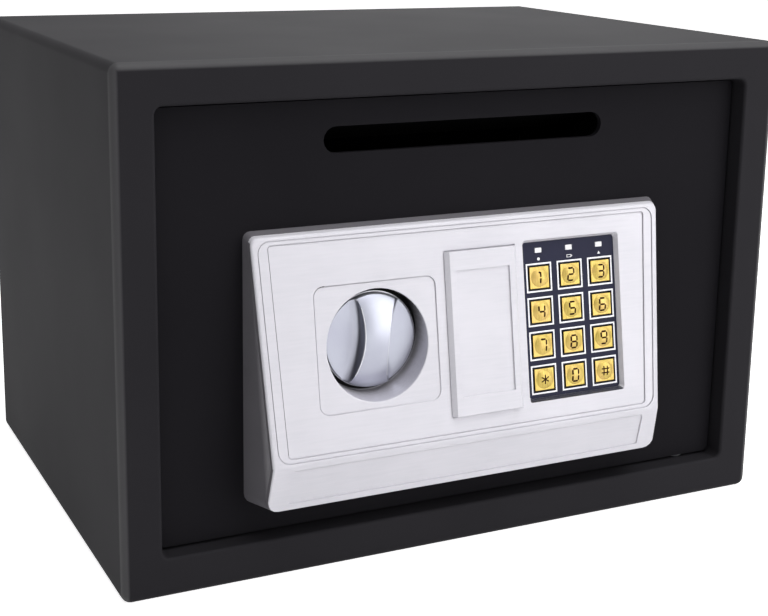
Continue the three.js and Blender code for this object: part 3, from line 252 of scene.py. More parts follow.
def newFinish(name, look):
    material = bpy.data.materials.new(name)
    material.use_nodes = True
    shader = material.node_tree.nodes["Principled BSDF"]
    shader.inputs["Base Color"].default_value = tint(look["colour"])
    for socket, key, usual in (("Roughness", "roughness", 0.5), ("Metallic", "metallic", 0.0),
                               ("Specular IOR Level", "specular", 0.5),
                               ("Sheen Weight", "sheen", 0.0)):
        shader.inputs[socket].default_value = look.get(key, usual)
    return material, material.node_tree, shader


def addNode(tree, kind, values):
    node = tree.nodes.new("ShaderNode" + kind)
    for socket, value in values.items():
        node.inputs[socket].default_value = value
    return node


def feed(value, node, socket):
    node.id_data.links.new(value, node.inputs[socket])


def coordsOf(tree, scale=(1, 1, 1), place=(0, 0, 0), turn=(0, 0, 0)):
    coords = addNode(tree, "TexCoord", {})
    mapping = addNode(tree, "Mapping", {"Scale": scale, "Location": place, "Rotation": turn})
    feed(coords.outputs["Object"], mapping, "Vector")
    return mapping.outputs["Vector"]


def axesOf(tree):
    split = addNode(tree, "SeparateXYZ", {})
    feed(coordsOf(tree), split, "Vector")
    return split.outputs


def noiseOf(tree, vector, scale=1.0, detail=2.0, rough=0.5):
    noise = addNode(tree, "TexNoise", {"Scale": scale, "Detail": detail, "Roughness": rough})
    feed(vector, noise, "Vector")
    return noise.outputs["Fac"]


def spanOf(tree, value, low, high, start=0.3, end=0.7):
    span = addNode(tree, "MapRange", {"From Min": start, "From Max": end,
                                      "To Min": low, "To Max": high})
    feed(value, span, "Value")
    return span.outputs["Result"]


def mixOf(tree, factor, first, second):  # between two hex colours, or from a socket's colour
    mix = addNode(tree, "Mix", {})
    mix.data_type = "RGBA"
    feed(factor, mix, 0)
    for socket, colour in ((6, first), (7, second)):
        if isinstance(colour, str):
            mix.inputs[socket].default_value = tint(colour)
        else:
            feed(colour, mix, socket)
    return mix.outputs[2]


def mathOf(tree, operation, first, second):
    node = addNode(tree, "Math", {})
    node.operation = operation
    feed(first, node, 0)
    feed(second, node, 1)
    return node.outputs[0]


def bumpOf(tree, shader, height, strength, distance, under=None):
    bump = addNode(tree, "Bump", {"Strength": strength, "Distance": distance * mm})
    feed(height, bump, "Height")
    if under:
        feed(under, bump, "Normal")
    feed(bump.outputs["Normal"], shader, "Normal")
    return bump.outputs["Normal"]


def mixAll(maker, keys, *rows):  # each row has a finish's name and its settings
    return [maker(name, dict(zip(keys, settings))) for name, *settings in rows]


# Powder coat: a fine orange peel, with clouds of slightly more and less gloss.
def powderCoat(name, look):
    material, tree, shader = newFinish(name, look)
    coords = coordsOf(tree)
    cloud = noiseOf(tree, coords, scale=14, detail=3)
    speck = noiseOf(tree, coords, scale=2600, detail=1)
    peel = noiseOf(tree, coords, scale=900, rough=0.6)
    ground = mixOf(tree, spanOf(tree, cloud, 0, 1), look["colour"], look["cloud"])
    share = spanOf(tree, speck, 0, look["fleckShare"], start=0.62, end=0.75)
    feed(mixOf(tree, share, ground, look["fleck"]), shader, "Base Color")
    feed(spanOf(tree, cloud, *look["gloss"]), shader, "Roughness")
    bumpOf(tree, shader, peel, 0.1, distance=0.05)
    return material


coat, doorCoat, chuteCoat, combCoat = mixAll(
    powderCoat, ("colour", "cloud", "fleck", "fleckShare", "gloss", "specular"),
    ("cabinetCoat", "252427", "232225", "2f2e32", 0.3, (0.6, 0.63), 0.04),
    ("doorCoat", "1b1a1d", "19181b", "232225", 0.3, (0.6, 0.63), 0.02),
    # The chute's bore: black coat, made blacker as painted shade inside the slot.
    ("chuteCoat", "070708", "060607", "0a0a0b", 0.2, (0.6, 0.65), 0.06),
    # The comb: black coat, made near-perfect black as painted shade inside the slot.
    ("combCoat", "020203", "010102", "040405", 0.2, (0.6, 0.65), 0.0),
)
rolledLook = {"from": 2.4, "to": 3.6, "specular": (0.04, 0.45)}


# The rolled front edges are burnished a little, so they catch the light.
def rolledEdges(material, look):
    tree = material.node_tree
    low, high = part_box("body_shell")
    axes = axesOf(tree)

    def closeTo(axis, edge, inwards):  # 1 at the edge, 0 further in
        return spanOf(tree, axes[axis], 1, 0, edge + inwards * look["from"] * mm,
                      edge + inwards * look["to"] * mm)

    total = closeTo("X", low.x, 1)
    for axis, edge in (("X", high.x), ("Z", high.z)):
        total = mathOf(tree, "MAXIMUM", total, closeTo(axis, edge, -1))
    share = mathOf(tree, "MULTIPLY", total, closeTo("Y", low.y, 1))
    feed(spanOf(tree, share, *look["specular"], 0, 1), tree.nodes["Principled BSDF"],
         "Specular IOR Level")


rolledEdges(coat, rolledLook)


# Silver lacquer on moulded plastic, brushed across.
def brushedSilver(name, look):
    material, tree, shader = newFinish(name, look)
    streaks = noiseOf(tree, coordsOf(tree, look["along"]), detail=3, rough=0.6)
    finer = noiseOf(tree, coordsOf(tree, look["fineAlong"]))
    cloud = noiseOf(tree, coordsOf(tree), scale=30)
    colour = mixOf(tree, spanOf(tree, streaks, 0, 1), look["colour"], look["streak"])
    lit = mixOf(tree, spanOf(tree, cloud, 0, look["cloudShare"]), colour, look["cloud"])
    if "bowl" in look:
        lit = paintedBowlShade(tree, lit, shader, look["bowl"])
    feed(lit, shader, "Base Color")
    feed(spanOf(tree, streaks, *look["gloss"]), shader, "Roughness")
    bumpOf(tree, shader, finer, look["bump"], distance=0.02)
    return material


# In the knob's bowl the colour goes from black at the floor to silver at the mouth, round a
# slightly shifted centre: painted shade.
def paintedBowlShade(tree, colour, shader, look):
    x, z = look["centre"]
    flat = addNode(tree, "VectorMath", {1: (1, 0, 1)})
    flat.operation = "MULTIPLY"
    feed(coordsOf(tree, place=(-x * mm, 0, -z * mm)), flat, 0)
    reach = addNode(tree, "VectorMath", {})
    reach.operation = "LENGTH"
    feed(flat.outputs["Vector"], reach, 0)
    share = spanOf(tree, reach.outputs["Value"], 0, 1, *(r * mm for r in look["radii"]))
    share.node.interpolation_type = "SMOOTHSTEP"
    feed(spanOf(tree, share, *look["specular"], 0, 1), shader, "Specular IOR Level")
    feed(spanOf(tree, share, 0, look["metallic"], 0, 1), shader, "Metallic")
    return mixOf(tree, share, look["colour"], colour)


silverLook = {"colour": "cbc9d0", "streak": "c5c4cb", "cloud": "d2d0d7", "cloudShare": 0.5,
              "along": (55, 900, 900), "fineAlong": (160, 3200, 3200), "gloss": (0.38, 0.5),
              "metallic": 0.06, "specular": 0.32, "bump": 0.12}
silver = brushedSilver("panelSilver", silverLook)
# Painted shade in the bowl: black below the inner radius, silver beyond the outer one.
bowlShadeLook = {"centre": (-53.0, 110.1), "radii": (25.3, 26.7), "metallic": 0.6,
            "specular": (0.05, 0.5), "colour": "050506"}
bowlSilverShadeLook = {**silverLook, "colour": "cac8d0", "streak": "c2c0c8", "cloud": "d2d0d8",
                  "bowl": bowlShadeLook}
bowlSilverShade = brushedSilver("bowlSilverShade", bowlSilverShadeLook)


# Bare or plated metal with drawn or turned marks along one direction.
def workedMetal(name, look):
    material, tree, shader = newFinish(name, look)
    marks = noiseOf(tree, coordsOf(tree, look["along"]), detail=3, rough=0.6)
    patch = noiseOf(tree, coordsOf(tree), look["patchScale"], detail=3)
    colour = mixOf(tree, spanOf(tree, patch, 0, 1), look["colour"], look["patch"])
    feed(colour, shader, "Base Color")
    feed(spanOf(tree, marks, *look["gloss"]), shader, "Roughness")
    bumpOf(tree, shader, marks, look["bump"], distance=0.02)
    return material


knobMetal, knobPolish, knobRim, steel, zinc, brass = mixAll(
    workedMetal, ("colour", "patch", "patchScale", "along", "gloss", "metallic", "bump"),
    ("knobMetal", "9a9ca6", "9495a1", 60, (2200, 2200, 160), (0.32, 0.4), 1.0, 0.08),
    # Near-white edges and a pale rim: partly polished metal, partly painted highlight.
    ("knobPolish", "f0f0f4", "e8e8ee", 60, (900, 900, 900), (0.12, 0.18), 0.35, 0.03),
    ("knobRim", "b6b6be", "aeaeb7", 60, (900, 900, 900), (0.2, 0.28), 0.35, 0.03),
    ("turnedSteel", "9c9ea2", "8e9094", 120, (260, 2400, 2400), (0.26, 0.42), 1.0, 0.12),
    ("zincPlate", "b4b5b2", "a3a49c", 420, (900, 900, 900), (0.34, 0.5), 0.9, 0.1),
    ("lockBrass", "b9974c", "a8873f", 120, (700, 2400, 700), (0.24, 0.38), 1.0, 0.1),
)


# Moulded plastic with the fine spark texture of its tool.
def mouldedPlastic(name, look):
    material, tree, shader = newFinish(name, look)
    coords = coordsOf(tree)
    grain = noiseOf(tree, coords, look["grain"], detail=3, rough=0.7)
    cloud = noiseOf(tree, coords, scale=45)
    colour = mixOf(tree, spanOf(tree, cloud, 0, 1), look["colour"], look["cloud"])
    feed(colour, shader, "Base Color")
    feed(spanOf(tree, grain, *look["gloss"]), shader, "Roughness")
    bumpOf(tree, shader, grain, look["bump"], distance=0.03)
    return material


(housingPlastic, blackPlastic, redPlastic, rubber, sillShade, navy, whiteInk, darkInk, keyBlack,
 lampLens) = mixAll(
    mouldedPlastic, ("colour", "cloud", "grain", "gloss", "bump", "specular"),
    ("housingPlastic", "656368", "615f64", 1800, (0.42, 0.56), 0.25, 0.5),
    ("blackPlastic", "1c1c1e", "202022", 1500, (0.4, 0.56), 0.25, 0.5),
    ("resetRed", "b32a22", "a8241d", 1500, (0.28, 0.4), 0.1, 0.5),
    ("padRubber", "55565a", "4c4d51", 1200, (0.7, 0.85), 0.2, 0.5),
    # Dark navy for the keypad recess's lower wall: painted shade.
    ("recessSill", "2c2d38", "34353f", 2400, (0.2, 0.3), 0.06, 0.5),
    ("keypadNavy", "242538", "212233", 2400, (0.46, 0.54), 0.06, 0.1),
    ("whiteInk", "f0f0f2", "e6e6ea", 2600, (0.34, 0.46), 0.05, 0.5),
    ("keyInk", "271206", "2c1609", 2600, (0.5, 0.6), 0.05, 0.05),
    ("keyBlack", "0c0c0e", "101012", 2000, (0.4, 0.5), 0.1, 0.2),
    ("lampLens", "ececef", "dcdce2", 2200, (0.16, 0.26), 0.04, 0.5),
)


# Gold keys: lacquered, brushed down the key, a little redder in places.
def keyGold(name, look):
    material, tree, shader = newFinish(name, look)
    strokes = noiseOf(tree, coordsOf(tree, look["along"]), detail=3, rough=0.6)
    warm = noiseOf(tree, coordsOf(tree), scale=160)
    colour = mixOf(tree, spanOf(tree, strokes, 0, 1), look["colour"], look["stroke"])
    share = spanOf(tree, warm, 0, look["warmShare"], start=0.4, end=0.75)
    feed(mixOf(tree, share, colour, look["warm"]), shader, "Base Color")
    feed(spanOf(tree, strokes, *look["gloss"]), shader, "Roughness")
    bumpOf(tree, shader, strokes, look["bump"], distance=0.02)
    return material


goldLook = {"colour": "c2aa57", "stroke": "a38c3a", "warm": "c8a264", "warmShare": 0.6,
            "along": (1800, 260, 260), "gloss": (0.26, 0.4), "metallic": 0.45, "bump": 0.15}
gold = keyGold("keyGold", goldLook)


# Needle felt: tangled fibres, matt, with lighter hairs on the surface.
def needleFelt(name, look):
    material, tree, shader = newFinish(name, look)
    hairs, across = (noiseOf(tree, coordsOf(tree, scale, turn=(0, 0, turn)), detail=3, rough=0.7)
                     for scale, turn in (look["hairs"], look["across"]))
    tuft = noiseOf(tree, coordsOf(tree), scale=160, detail=4, rough=0.7)
    ground = mixOf(tree, spanOf(tree, tuft, 0, 1), look["colour"], look["tuft"])
    share = spanOf(tree, hairs, 0, look["hairShare"], start=0.5, end=0.72)
    feed(mixOf(tree, share, ground, look["hair"]), shader, "Base Color")
    under = bumpOf(tree, shader, across, 0.5, distance=0.15)
    bumpOf(tree, shader, hairs, 0.7, distance=0.2, under=under)
    return material


feltLook = {"colour": "29292d", "tuft": "222226", "hair": "4a4a50", "hairShare": 0.7,
            "hairs": ((900, 2600, 900), 0.6), "across": ((2600, 800, 900), 0.3),
            "roughness": 0.95, "specular": 0.2, "sheen": 0.25}
felt = needleFelt("floorFelt", feltLook)


# Copper winding in its tape: fine turns across the coil's axis.
def coilTape(name, look):
    material, tree, shader = newFinish(name, look)
    wave = addNode(tree, "TexWave", {"Scale": look["turnsScale"], "Distortion": 0.6})
    wave.bands_direction = "Z"
    feed(coordsOf(tree), wave, "Vector")
    turns = wave.outputs["Fac"]
    feed(mixOf(tree, turns, look["colour"], look["shine"]), shader, "Base Color")
    bumpOf(tree, shader, turns, 0.6, distance=0.15)
    return material


coilFinish = {"colour": "7c3f20", "shine": "a4582c", "roughness": 0.4, "metallic": 0.4,
              "turnsScale": 320}
coil = coilTape("coilCopper", coilFinish)


# Circuit board: green mask with paler tracks running under it.
def boardMask(name, look):
    material, tree, shader = newFinish(name, look)
    mask = tint(look["colour"])
    brick = addNode(tree, "TexBrick", {"Scale": 260, "Mortar Size": 0.08, "Color1": mask,
                                       "Color2": mask, "Mortar": tint(look["track"])})
    feed(coordsOf(tree, turn=(1.4, 0, 0)), brick, "Vector")
    feed(brick.outputs["Color"], shader, "Base Color")
    bumpOf(tree, shader, brick.outputs["Fac"], 0.3, distance=0.03)
    return material


boardLook = {"colour": "1f5a38", "track": "3b8a58", "roughness": 0.35}
board = boardMask("boardMask", boardLook)


# Cell sleeve: shrink film in two colours, parted at two heights.
def cellSleeve(name, look):
    material, tree, shader = newFinish(name, look)
    height = axesOf(tree)["Z"]
    colour = look["foot"]
    for level, above in zip(look["band"], (look["colour"], look["foot"])):
        share = spanOf(tree, height, 0, 1, level * mm, (level + look["blur"]) * mm)
        colour = mixOf(tree, share, colour, above)
    feed(colour, shader, "Base Color")
    wrinkle = noiseOf(tree, coordsOf(tree, look["wrinkles"]))
    bumpOf(tree, shader, wrinkle, 0.15, distance=0.05)
    feed(spanOf(tree, wrinkle, *look["gloss"]), shader, "Roughness")
    return material


sleeveLook = {"colour": "2f5f8f", "foot": "c8cbd0", "band": (72.0, 112.5), "blur": 0.2,
              "wrinkles": (500, 500, 60), "gloss": (0.2, 0.34), "metallic": 0.3}
sleeve = cellSleeve("cellSleeve", sleeveLook)
print("finishes mixed")


# Cabinet: folded and welded steel, its outer front edges rolled over

cabinetLook = {"edge": 0.35}
dress(cabinetLook, ("body_shell", "cabinetWrap", coat, "coat"))
backLook = {"edge": 0.3}
dress(backLook, ("back_panel", "cabinetBack", coat, "coat"))
print("cabinet done")


# Floor mat: felt cut a little smaller than the floor, lying in shallow waves

matLook = {
    "grid": (120, 80),
    "wave": 0.35,
    "swells": (41, 33, 17),
    "sink": 0.45,
    "thick": 2,
    "holes": ((-100, 45), (100, 45)),
    "holeRadius": 5,
    "holeReach": 20,
    "edge": 0.8,
}


def makeMat(look):
    low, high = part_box("floor_mat")
    middle = (low + high) / 2
    size = high - low
    bpy.ops.mesh.primitive_grid_add(
        x_subdivisions=look["grid"][0], y_subdivisions=look["grid"][1], size=1,
        location=(middle.x, middle.y, high.z),
    )
    mat = christen("floorFeltMat")
    mat.scale = (size.x, size.y, 1)
    setDown(mat)
    long, short, slanting = look["swells"]
    for vertex in mat.data.vertices:
        x, y = vertex.co.x / mm, vertex.co.y / mm
        swell = math.sin(x / long + 0.6) * math.sin(y / short + 1.1)
        swell += 0.5 * math.sin((x + y) / slanting)
        vertex.co.z -= (look["sink"] - look["wave"] * swell / 1.5) * mm
    choose(mat, "FACE")
    drawOut(-look["thick"])
    closeMesh()
    for vertex in mat.data.vertices:  # the underside lies flat
        if vertex.co.z < high.z - 0.7 * look["thick"] * mm:
            vertex.co.z = low.z
    for x, y in look["holes"]:
        bpy.ops.mesh.primitive_cylinder_add(
            vertices=48, radius=look["holeRadius"] * mm, depth=look["holeReach"] * mm,
            location=(x * mm, y * mm, low.z),
        )
        cutAway(mat, bpy.context.object)
    openMesh(mat)
    turnOutwards()
    roundEdges(mat, look["edge"], 3, 60)
    smoothOver(mat, 50)
    return mat


mat = makeMat(matLook)
paint(mat, felt)
standFor(mat, "floor_mat", "felt")
print("floor mat done")


# Door, its hinge blocks and pins

doorLook = {"edge": 0.45, "segments": 3}
dress(doorLook, ("door_plate", "doorLeaf", doorCoat, "door_coat"))
hingeLook = {"edge": 0.5}
dress(hingeLook, ("lower_hinge_block", "hingeBlockLower", steel, "steel"),
      ("upper_hinge_block", "hingeBlockUpper", steel, "steel"))
pinLook = {"edge": 0.25}
dress(pinLook, ("lower_hinge_pin", "hingePinLower", steel, "steel"),
      ("upper_hinge_pin", "hingePinUpper", steel, "steel"))
chuteLook = {"edge": 0.3, "middle": (-105, 201.2), "fall": 0.46, "flatness": 8}


# The chute's bore is matt black, blacker than real coat: its own black paint and painted shade in
# the slot. Its outside has the door's coat.
def makeChute(look):
    piece = softened("deposit_chute", "depositChute", doorCoat, look)
    piece.data.materials.append(chuteCoat)
    y0, z0 = look["middle"]
    for polygon in piece.data.polygons:
        x, y, z = polygon.center / mm
        above = z - z0 + look["fall"] * (y - y0)
        if polygon.normal.x * x + polygon.normal.z * above * look["flatness"] < 0:
            polygon.material_index = 1
    return piece


standFor(makeChute(chuteLook), "deposit_chute", "door_coat")
# The comb's near-perfect black is painted shade, so it stays unseen in the slot.
combLook = {"edge": 0.15, "segments": 1}
dress(combLook, ("chute_comb", "antiFishComb", combCoat, "door_coat"))
print("door done")


# The panel's slope: X across, Y up the slope from the crease, Z out of the face

slope = {
    "origin": (-3, -139.5, 59.5),
    "rise": 103,
    "lean": 17.5,
    "creaseHalf": 105.29,
    "halfGrowth": 0.0407,
    "keypadAcross": 58.1,
    "keypadTop": -3.3,
}
slopeAngle = math.atan2(slope["lean"], slope["rise"])
slopeLength = math.hypot(slope["lean"], slope["rise"])
faceMatrix = Matrix.Translation(Vector(slope["origin"]) * mm) @ Matrix.Rotation(
    math.pi / 2 - slopeAngle, 4, "X")


def ontoFace(piece):
    pickUp(piece)
    piece.matrix_world = faceMatrix @ piece.matrix_world
    setDown(piece)
    return piece


# Lock panel: a dark moulded housing under a silver face

housingShape = {"edge": 0.3, "flare": (1.8, 6.4), "behind": -113.2, "side": 8}


# Its foot flares out to the left and upwards, where it meets the door.
def makeHousing(look):
    piece = copyOf("panel_housing", "panelHousing")
    low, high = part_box("panel_housing")
    left, up = look["flare"]

    def pullFoot(test, move):
        choose(piece, "VERT", lambda v: v.co.y > look["behind"] * mm and test(v.co))
        bpy.ops.transform.translate(value=move)
        closeMesh()

    pullFoot(lambda place: place.x < low.x + look["side"] * mm, (-left * mm, 0, 0))
    pullFoot(lambda place: place.z > high.z - look["side"] * mm, (0, 0, up * mm))
    roundEdges(piece, look["edge"])
    smoothOver(piece)
    paint(piece, housingPlastic)
    return piece


standFor(makeHousing(housingShape), "panel_housing", "dark_plastic")

panelShape = {
    "rim": {"inset": 2.7, "ends": 1.3, "corner": 6, "level": -0.35},
    "field": {"inset": 7.7, "ends": 3.3, "corner": 2, "level": -0.9},
    "square": {"width": 62.7, "height": 59.7, "across": -49.4, "belowTop": 54, "corner": 5,
               "level": -1.4, "tilt": (0.42, 0.42)},
    "grooveWidth": 0.5,
    "grooveDepth": 0.4,
    "grooveReach": 3,
    "skirtFall": 22.5,
    "skirtLean": 5.3,
    "middle": 95,
    "round": 1.0,
    "edge": 0.12,
    "wall": {"half": 98, "top": 5, "foot": 4, "upright": 0.93},
    "sill": {"half": 28, "foot": 12.9, "reach": 2.5, "depths": (-3.4, -0.8)},
    "bowl": {"centre": (-52.4, 109.263), "mouth": 28.6, "below": 2.0, "edge": 0.45,
             "edgeBetween": (25.5, 29.5)},
}


# A cutter for a thin groove along a rounded outline of four corners.
def grooveCutter(corners, radius, level, look, tilt=(0, 0)):
    bpy.ops.mesh.primitive_plane_add(size=2)
    ring = christen("grooveCutter")
    for vertex in ring.data.vertices:
        place = corners[(vertex.co.x > 0, vertex.co.y > 0)]
        vertex.co = Vector((place[0], place[1], level - look["grooveDepth"])) * mm
    choose(ring, "FACE")
    bpy.ops.mesh.bevel(offset=radius * mm, segments=6, affect="VERTICES")
    bpy.ops.mesh.select_mode(type="FACE")
    bpy.ops.mesh.select_all(action="SELECT")
    bpy.ops.mesh.inset(thickness=look["grooveWidth"] * mm)
    bpy.ops.mesh.delete(type="FACE")
    bpy.ops.mesh.select_all(action="SELECT")
    drawOut(look["grooveReach"])
    bpy.ops.mesh.select_all(action="SELECT")
    bpy.ops.mesh.normals_make_consistent(inside=False)
    middle = sum((Vector((*place, level)) for place in corners.values()), Vector()) / 4 * mm
    for angle, axis in zip(tilt, "XY"):
        bpy.ops.transform.rotate(value=math.radians(angle), orient_axis=axis,
                                 center_override=middle)
    closeMesh()
    return ontoFace(ring)


def slopeCorners(look):
    corners = {}
    for top in (False, True):
        v = slopeLength - look["ends"] if top else look["ends"]
        half = slope["creaseHalf"] + slope["halfGrowth"] * v - look["inset"]
        corners[(False, top)] = (-half, v)
        corners[(True, top)] = (half, v)
    return corners


def squareCorners(look):
    middle = slopeLength - look["belowTop"]
    return {(right, top): (look["across"] + (0.5 if right else -0.5) * look["width"],
                           middle + (0.5 if top else -0.5) * look["height"])
            for right in (False, True) for top in (False, True)}


# Each edge of a piece with its middle and the normals of its faces.
def edgesOf(piece):
    facesOf = {}
    for polygon in piece.data.polygons:
        for key in polygon.edge_keys:
            facesOf.setdefault(key, []).append(polygon.normal)
    for edge in piece.data.edges:
        first, second = (piece.data.vertices[i].co for i in edge.vertices)
        yield edge, (first + second) / 2, facesOf[edge.key]


# Edges where the face's two front planes meet its outer wall.
def frontOutline(piece, look):
    crease = Vector(slope["origin"]) * mm
    planes = (Vector((0, -slope["rise"], slope["lean"])).normalized(),
              Vector((0, -look["skirtFall"], -look["skirtLean"])).normalized())
    flush, level, steep = 0.02 * mm, 0.9999, 0.6
    found = set()
    for edge, middle, normals in edgesOf(piece):
        for plane in planes:
            onPlane = abs((middle - crease).dot(plane)) < flush
            front = [normal for normal in normals if normal.dot(plane) > level]
            walls = [normal for normal in normals if abs(normal.dot(plane)) < steep]
            if onPlane and front and walls:
                outwards = middle - Vector((slope["origin"][0], 0, look["middle"])) * mm
                outwards.y = 0
                if walls[0].dot(outwards) > 0:
                    found.add(edge.index)
    return found


# Edges round the bowl's mouth, between its wall and the square in front of it.
def mouthEdges(piece, look):
    facing = (faceMatrix.to_3x3() @ Vector((0, 0, 1))).normalized()
    near, far = look["edgeBetween"]
    level, steep = 0.995, 0.9
    found = set()
    for edge, middle, normals in edgesOf(piece):
        x, y, z = middle / mm
        reach = math.hypot(x - look["centre"][0], z - look["centre"][1])
        leans = [normal.dot(facing) for normal in normals]
        if near < reach < far and max(leans) > level and min(leans) < steep:
            found.add(edge.index)
    return found


# The lower wall of the keypad's recess is painted dark navy: painted shade.
def paintSillShade(piece, look):
    toFace = faceMatrix.inverted()
    upSlope = (faceMatrix.to_3x3() @ Vector((0, 1, 0))).normalized()
    deepest, highest = look["depths"]
    for polygon in piece.data.polygons:
        place = toFace @ polygon.center / mm
        inside = abs(place.x - slope["keypadAcross"]) < look["half"] and (
            abs(place.y - look["foot"]) < look["reach"])
        if inside and deepest < place.z < highest and polygon.normal.dot(upSlope) > 0.5:
            polygon.material_index = 2


# The knob's bowl has its own silver, which darkens inwards: painted shade.
def markBowlShadeFaces(piece, look):
    toFace = faceMatrix.inverted()
    for polygon in piece.data.polygons:
        x, z = polygon.center.x / mm, polygon.center.z / mm
        near = math.hypot(x - look["centre"][0], z - look["centre"][1]) < look["mouth"]
        if near and (toFace @ polygon.center).z < -look["below"] * mm:
            polygon.material_index = 3


# The silver stops at the rounded edge, so the outer wall shows the moulding's own dark plastic.
def darkWall(piece, look):
    low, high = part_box("panel_face")
    middle = (low + high) / 2
    for polygon in piece.data.polygons:
        across = Vector((polygon.normal.x, 0, polygon.normal.z))
        if across.length < look["upright"]:
            continue
        centre = polygon.center
        beyond = abs(centre.x - middle.x) > look["half"] * mm or (
            centre.z > high.z - look["top"] * mm or centre.z < low.z + look["foot"] * mm)
        if beyond and across.dot(Vector((centre.x - middle.x, 0, centre.z - middle.z))) > 0:
            polygon.material_index = 1


def makePanelFace(look):
    piece = copyOf("panel_face", "panelFace")
    for finder, part, width, segments in (
            (frontOutline, look, look["round"], 4),
            (mouthEdges, look["bowl"], look["bowl"]["edge"], 3)):
        found = finder(piece, part)
        choose(piece, "EDGE", lambda edge: edge.index in found)
        bpy.ops.mesh.bevel(offset=width * mm, segments=segments, affect="EDGES")
        closeMesh()
    for part in ("rim", "field"):
        cutAway(piece, grooveCutter(slopeCorners(look[part]), look[part]["corner"],
                                    look[part]["level"], look))
    square = look["square"]
    cutAway(piece, grooveCutter(squareCorners(square), square["corner"], square["level"], look,
                                square["tilt"]))
    roundEdges(piece, look["edge"], 2, 25)
    smoothOver(piece, 30)
    paint(piece, silver, housingPlastic, sillShade, bowlSilverShade)
    darkWall(piece, look["wall"])
    paintSillShade(piece, look["sill"])
    markBowlShadeFaces(piece, look["bowl"])
    return piece


standFor(makePanelFace(panelShape), "panel_face", "silver_face")

coverShape = {"edge": 0.3, "segments": 3}
dress(coverShape, ("key_cover", "keyCoverPlate", silver, "silver_face"))
print("panel done")


# Keypad: printed plate, lamps and twelve keys

keypadLook = {
    "columns": (-17.75, 0, 17.75),
    "firstRow": 31.4,
    "rowPitch": 16.8,
    "borderOuter": (14.5, 14.3),
    "borderInner": (12.95, 12.75),
    "ink": 0.05,
    "markBelowTop": 22.3,
    "dot": (-17.6, 0.75),
    "cell": ((2.6, 1.4), (2.1, 0.9)),
    "cellEnd": (1.6, (0.5, 0.7), (0.2, 0.4)),
    "triangle": (17.6, 0.95),
    "edge": 0.12,
}


# A flat ring of ink, lying on the plate at height z.
def inkRing(x, y, outer, inner, z, thickness):
    bpy.ops.mesh.primitive_plane_add(size=1, location=(x * mm, y * mm, z * mm))
    ring = christen("inkRing")
    ring.scale = (outer[0] * mm, outer[1] * mm, 1)
    setDown(ring)
    choose(ring, "FACE")
    bpy.ops.mesh.inset(thickness=(outer[0] - inner[0]) / 2 * mm)
    bpy.ops.mesh.delete(type="FACE")
    bpy.ops.mesh.select_all(action="SELECT")
    drawOut(thickness)
    closeMesh()
    return ring


def inkDisc(x, y, radius, z, thickness, corners=32):
    bpy.ops.mesh.primitive_cylinder_add(
        vertices=corners, radius=radius * mm, depth=thickness * mm,
        location=(x * mm, y * mm, (z + thickness / 2) * mm))
    return christen("inkDisc")


# White frames for the keys, and a mark under each lamp: a dot, a cell and a triangle.
def makeKeypadPlate(look):
    plate = softened("keypad_plate", "keypadPlate", navy, look)
    top = slope["keypadTop"]
    prints = []
    for row in range(4):
        for column in look["columns"]:
            y = slopeLength - look["firstRow"] - row * look["rowPitch"]
            prints.append(inkRing(slope["keypadAcross"] + column, y, look["borderOuter"],
                                  look["borderInner"], top, look["ink"]))
    y = slopeLength - look["markBelowTop"]
    x = slope["keypadAcross"]
    across, radius = look["dot"]
    prints.append(inkDisc(x + across, y, radius, top, look["ink"]))
    prints.append(inkRing(x, y, *look["cell"], top, look["ink"]))
    across, outer, inner = look["cellEnd"]
    prints.append(inkRing(x + across, y, outer, inner, top, look["ink"]))
    across, radius = look["triangle"]
    prints.append(inkDisc(x + across, y, radius, top, look["ink"], corners=3))
    for one in prints:
        ontoFace(one)
        paint(one, whiteInk)
    return joinOnto(plate, prints)


standFor(makeKeypadPlate(keypadLook), "keypad_plate", "navy_plate")

lampShape = {"edge": 0.3, "segments": 3}
dress(lampShape, ("left_lamp", "lampLeft", lampLens, "lamp_white"),
      ("middle_lamp", "lampMiddle", lampLens, "lamp_white"),
      ("right_lamp", "lampRight", lampLens, "lamp_white"))

keyLook = {
    "size": (10.9, 10.7),
    "proud": 0.35,
    "dome": 0.95,
    "domeRadius": 4.7,
    "domeSoft": 0.05,
    "ditch": (0.14, 0.3),
    "cells": 56,
    "skirt": 1.5,
    "edge": 0.22,
    "ink": 0.05,
    "inkFoot": 0.03,
    "digit": (3.3, 6.1),
    "stroke": 0.9,
    "markReach": 2.5,
    "markStroke": 0.65,
    "lean": 3,
}
keyNames = ("1", "2", "3", "4", "5", "6", "7", "8", "9", "star", "0", "hash")
segmentsOf = {
    "0": "abcdef", "2": "abged", "3": "abgcd", "4": "fgbc", "5": "afgcd", "6": "afgedc",
    "7": "abc", "8": "abcdefg", "9": "abcdfg",
}


def keyHeight(look, x, y):  # height of the key's top over the plate, in millimetres
    ball = (look["domeRadius"] ** 2 + look["dome"] ** 2) / (2 * look["dome"])
    r = math.hypot(x, y)
    bulge = look["dome"] - ball + math.sqrt(ball ** 2 - min(r, ball) ** 2)
    soft = look["domeSoft"]  # the bulge runs out into the flat of the key
    blended = 0.5 * (bulge + math.sqrt(bulge ** 2 + soft ** 2))
    depth, width = look["ditch"]  # a fine pressed line runs round the bulge
    ditch = depth * math.exp(-((r - look["domeRadius"]) / width) ** 2)
    return look["proud"] + blended - 0.25 * soft - ditch


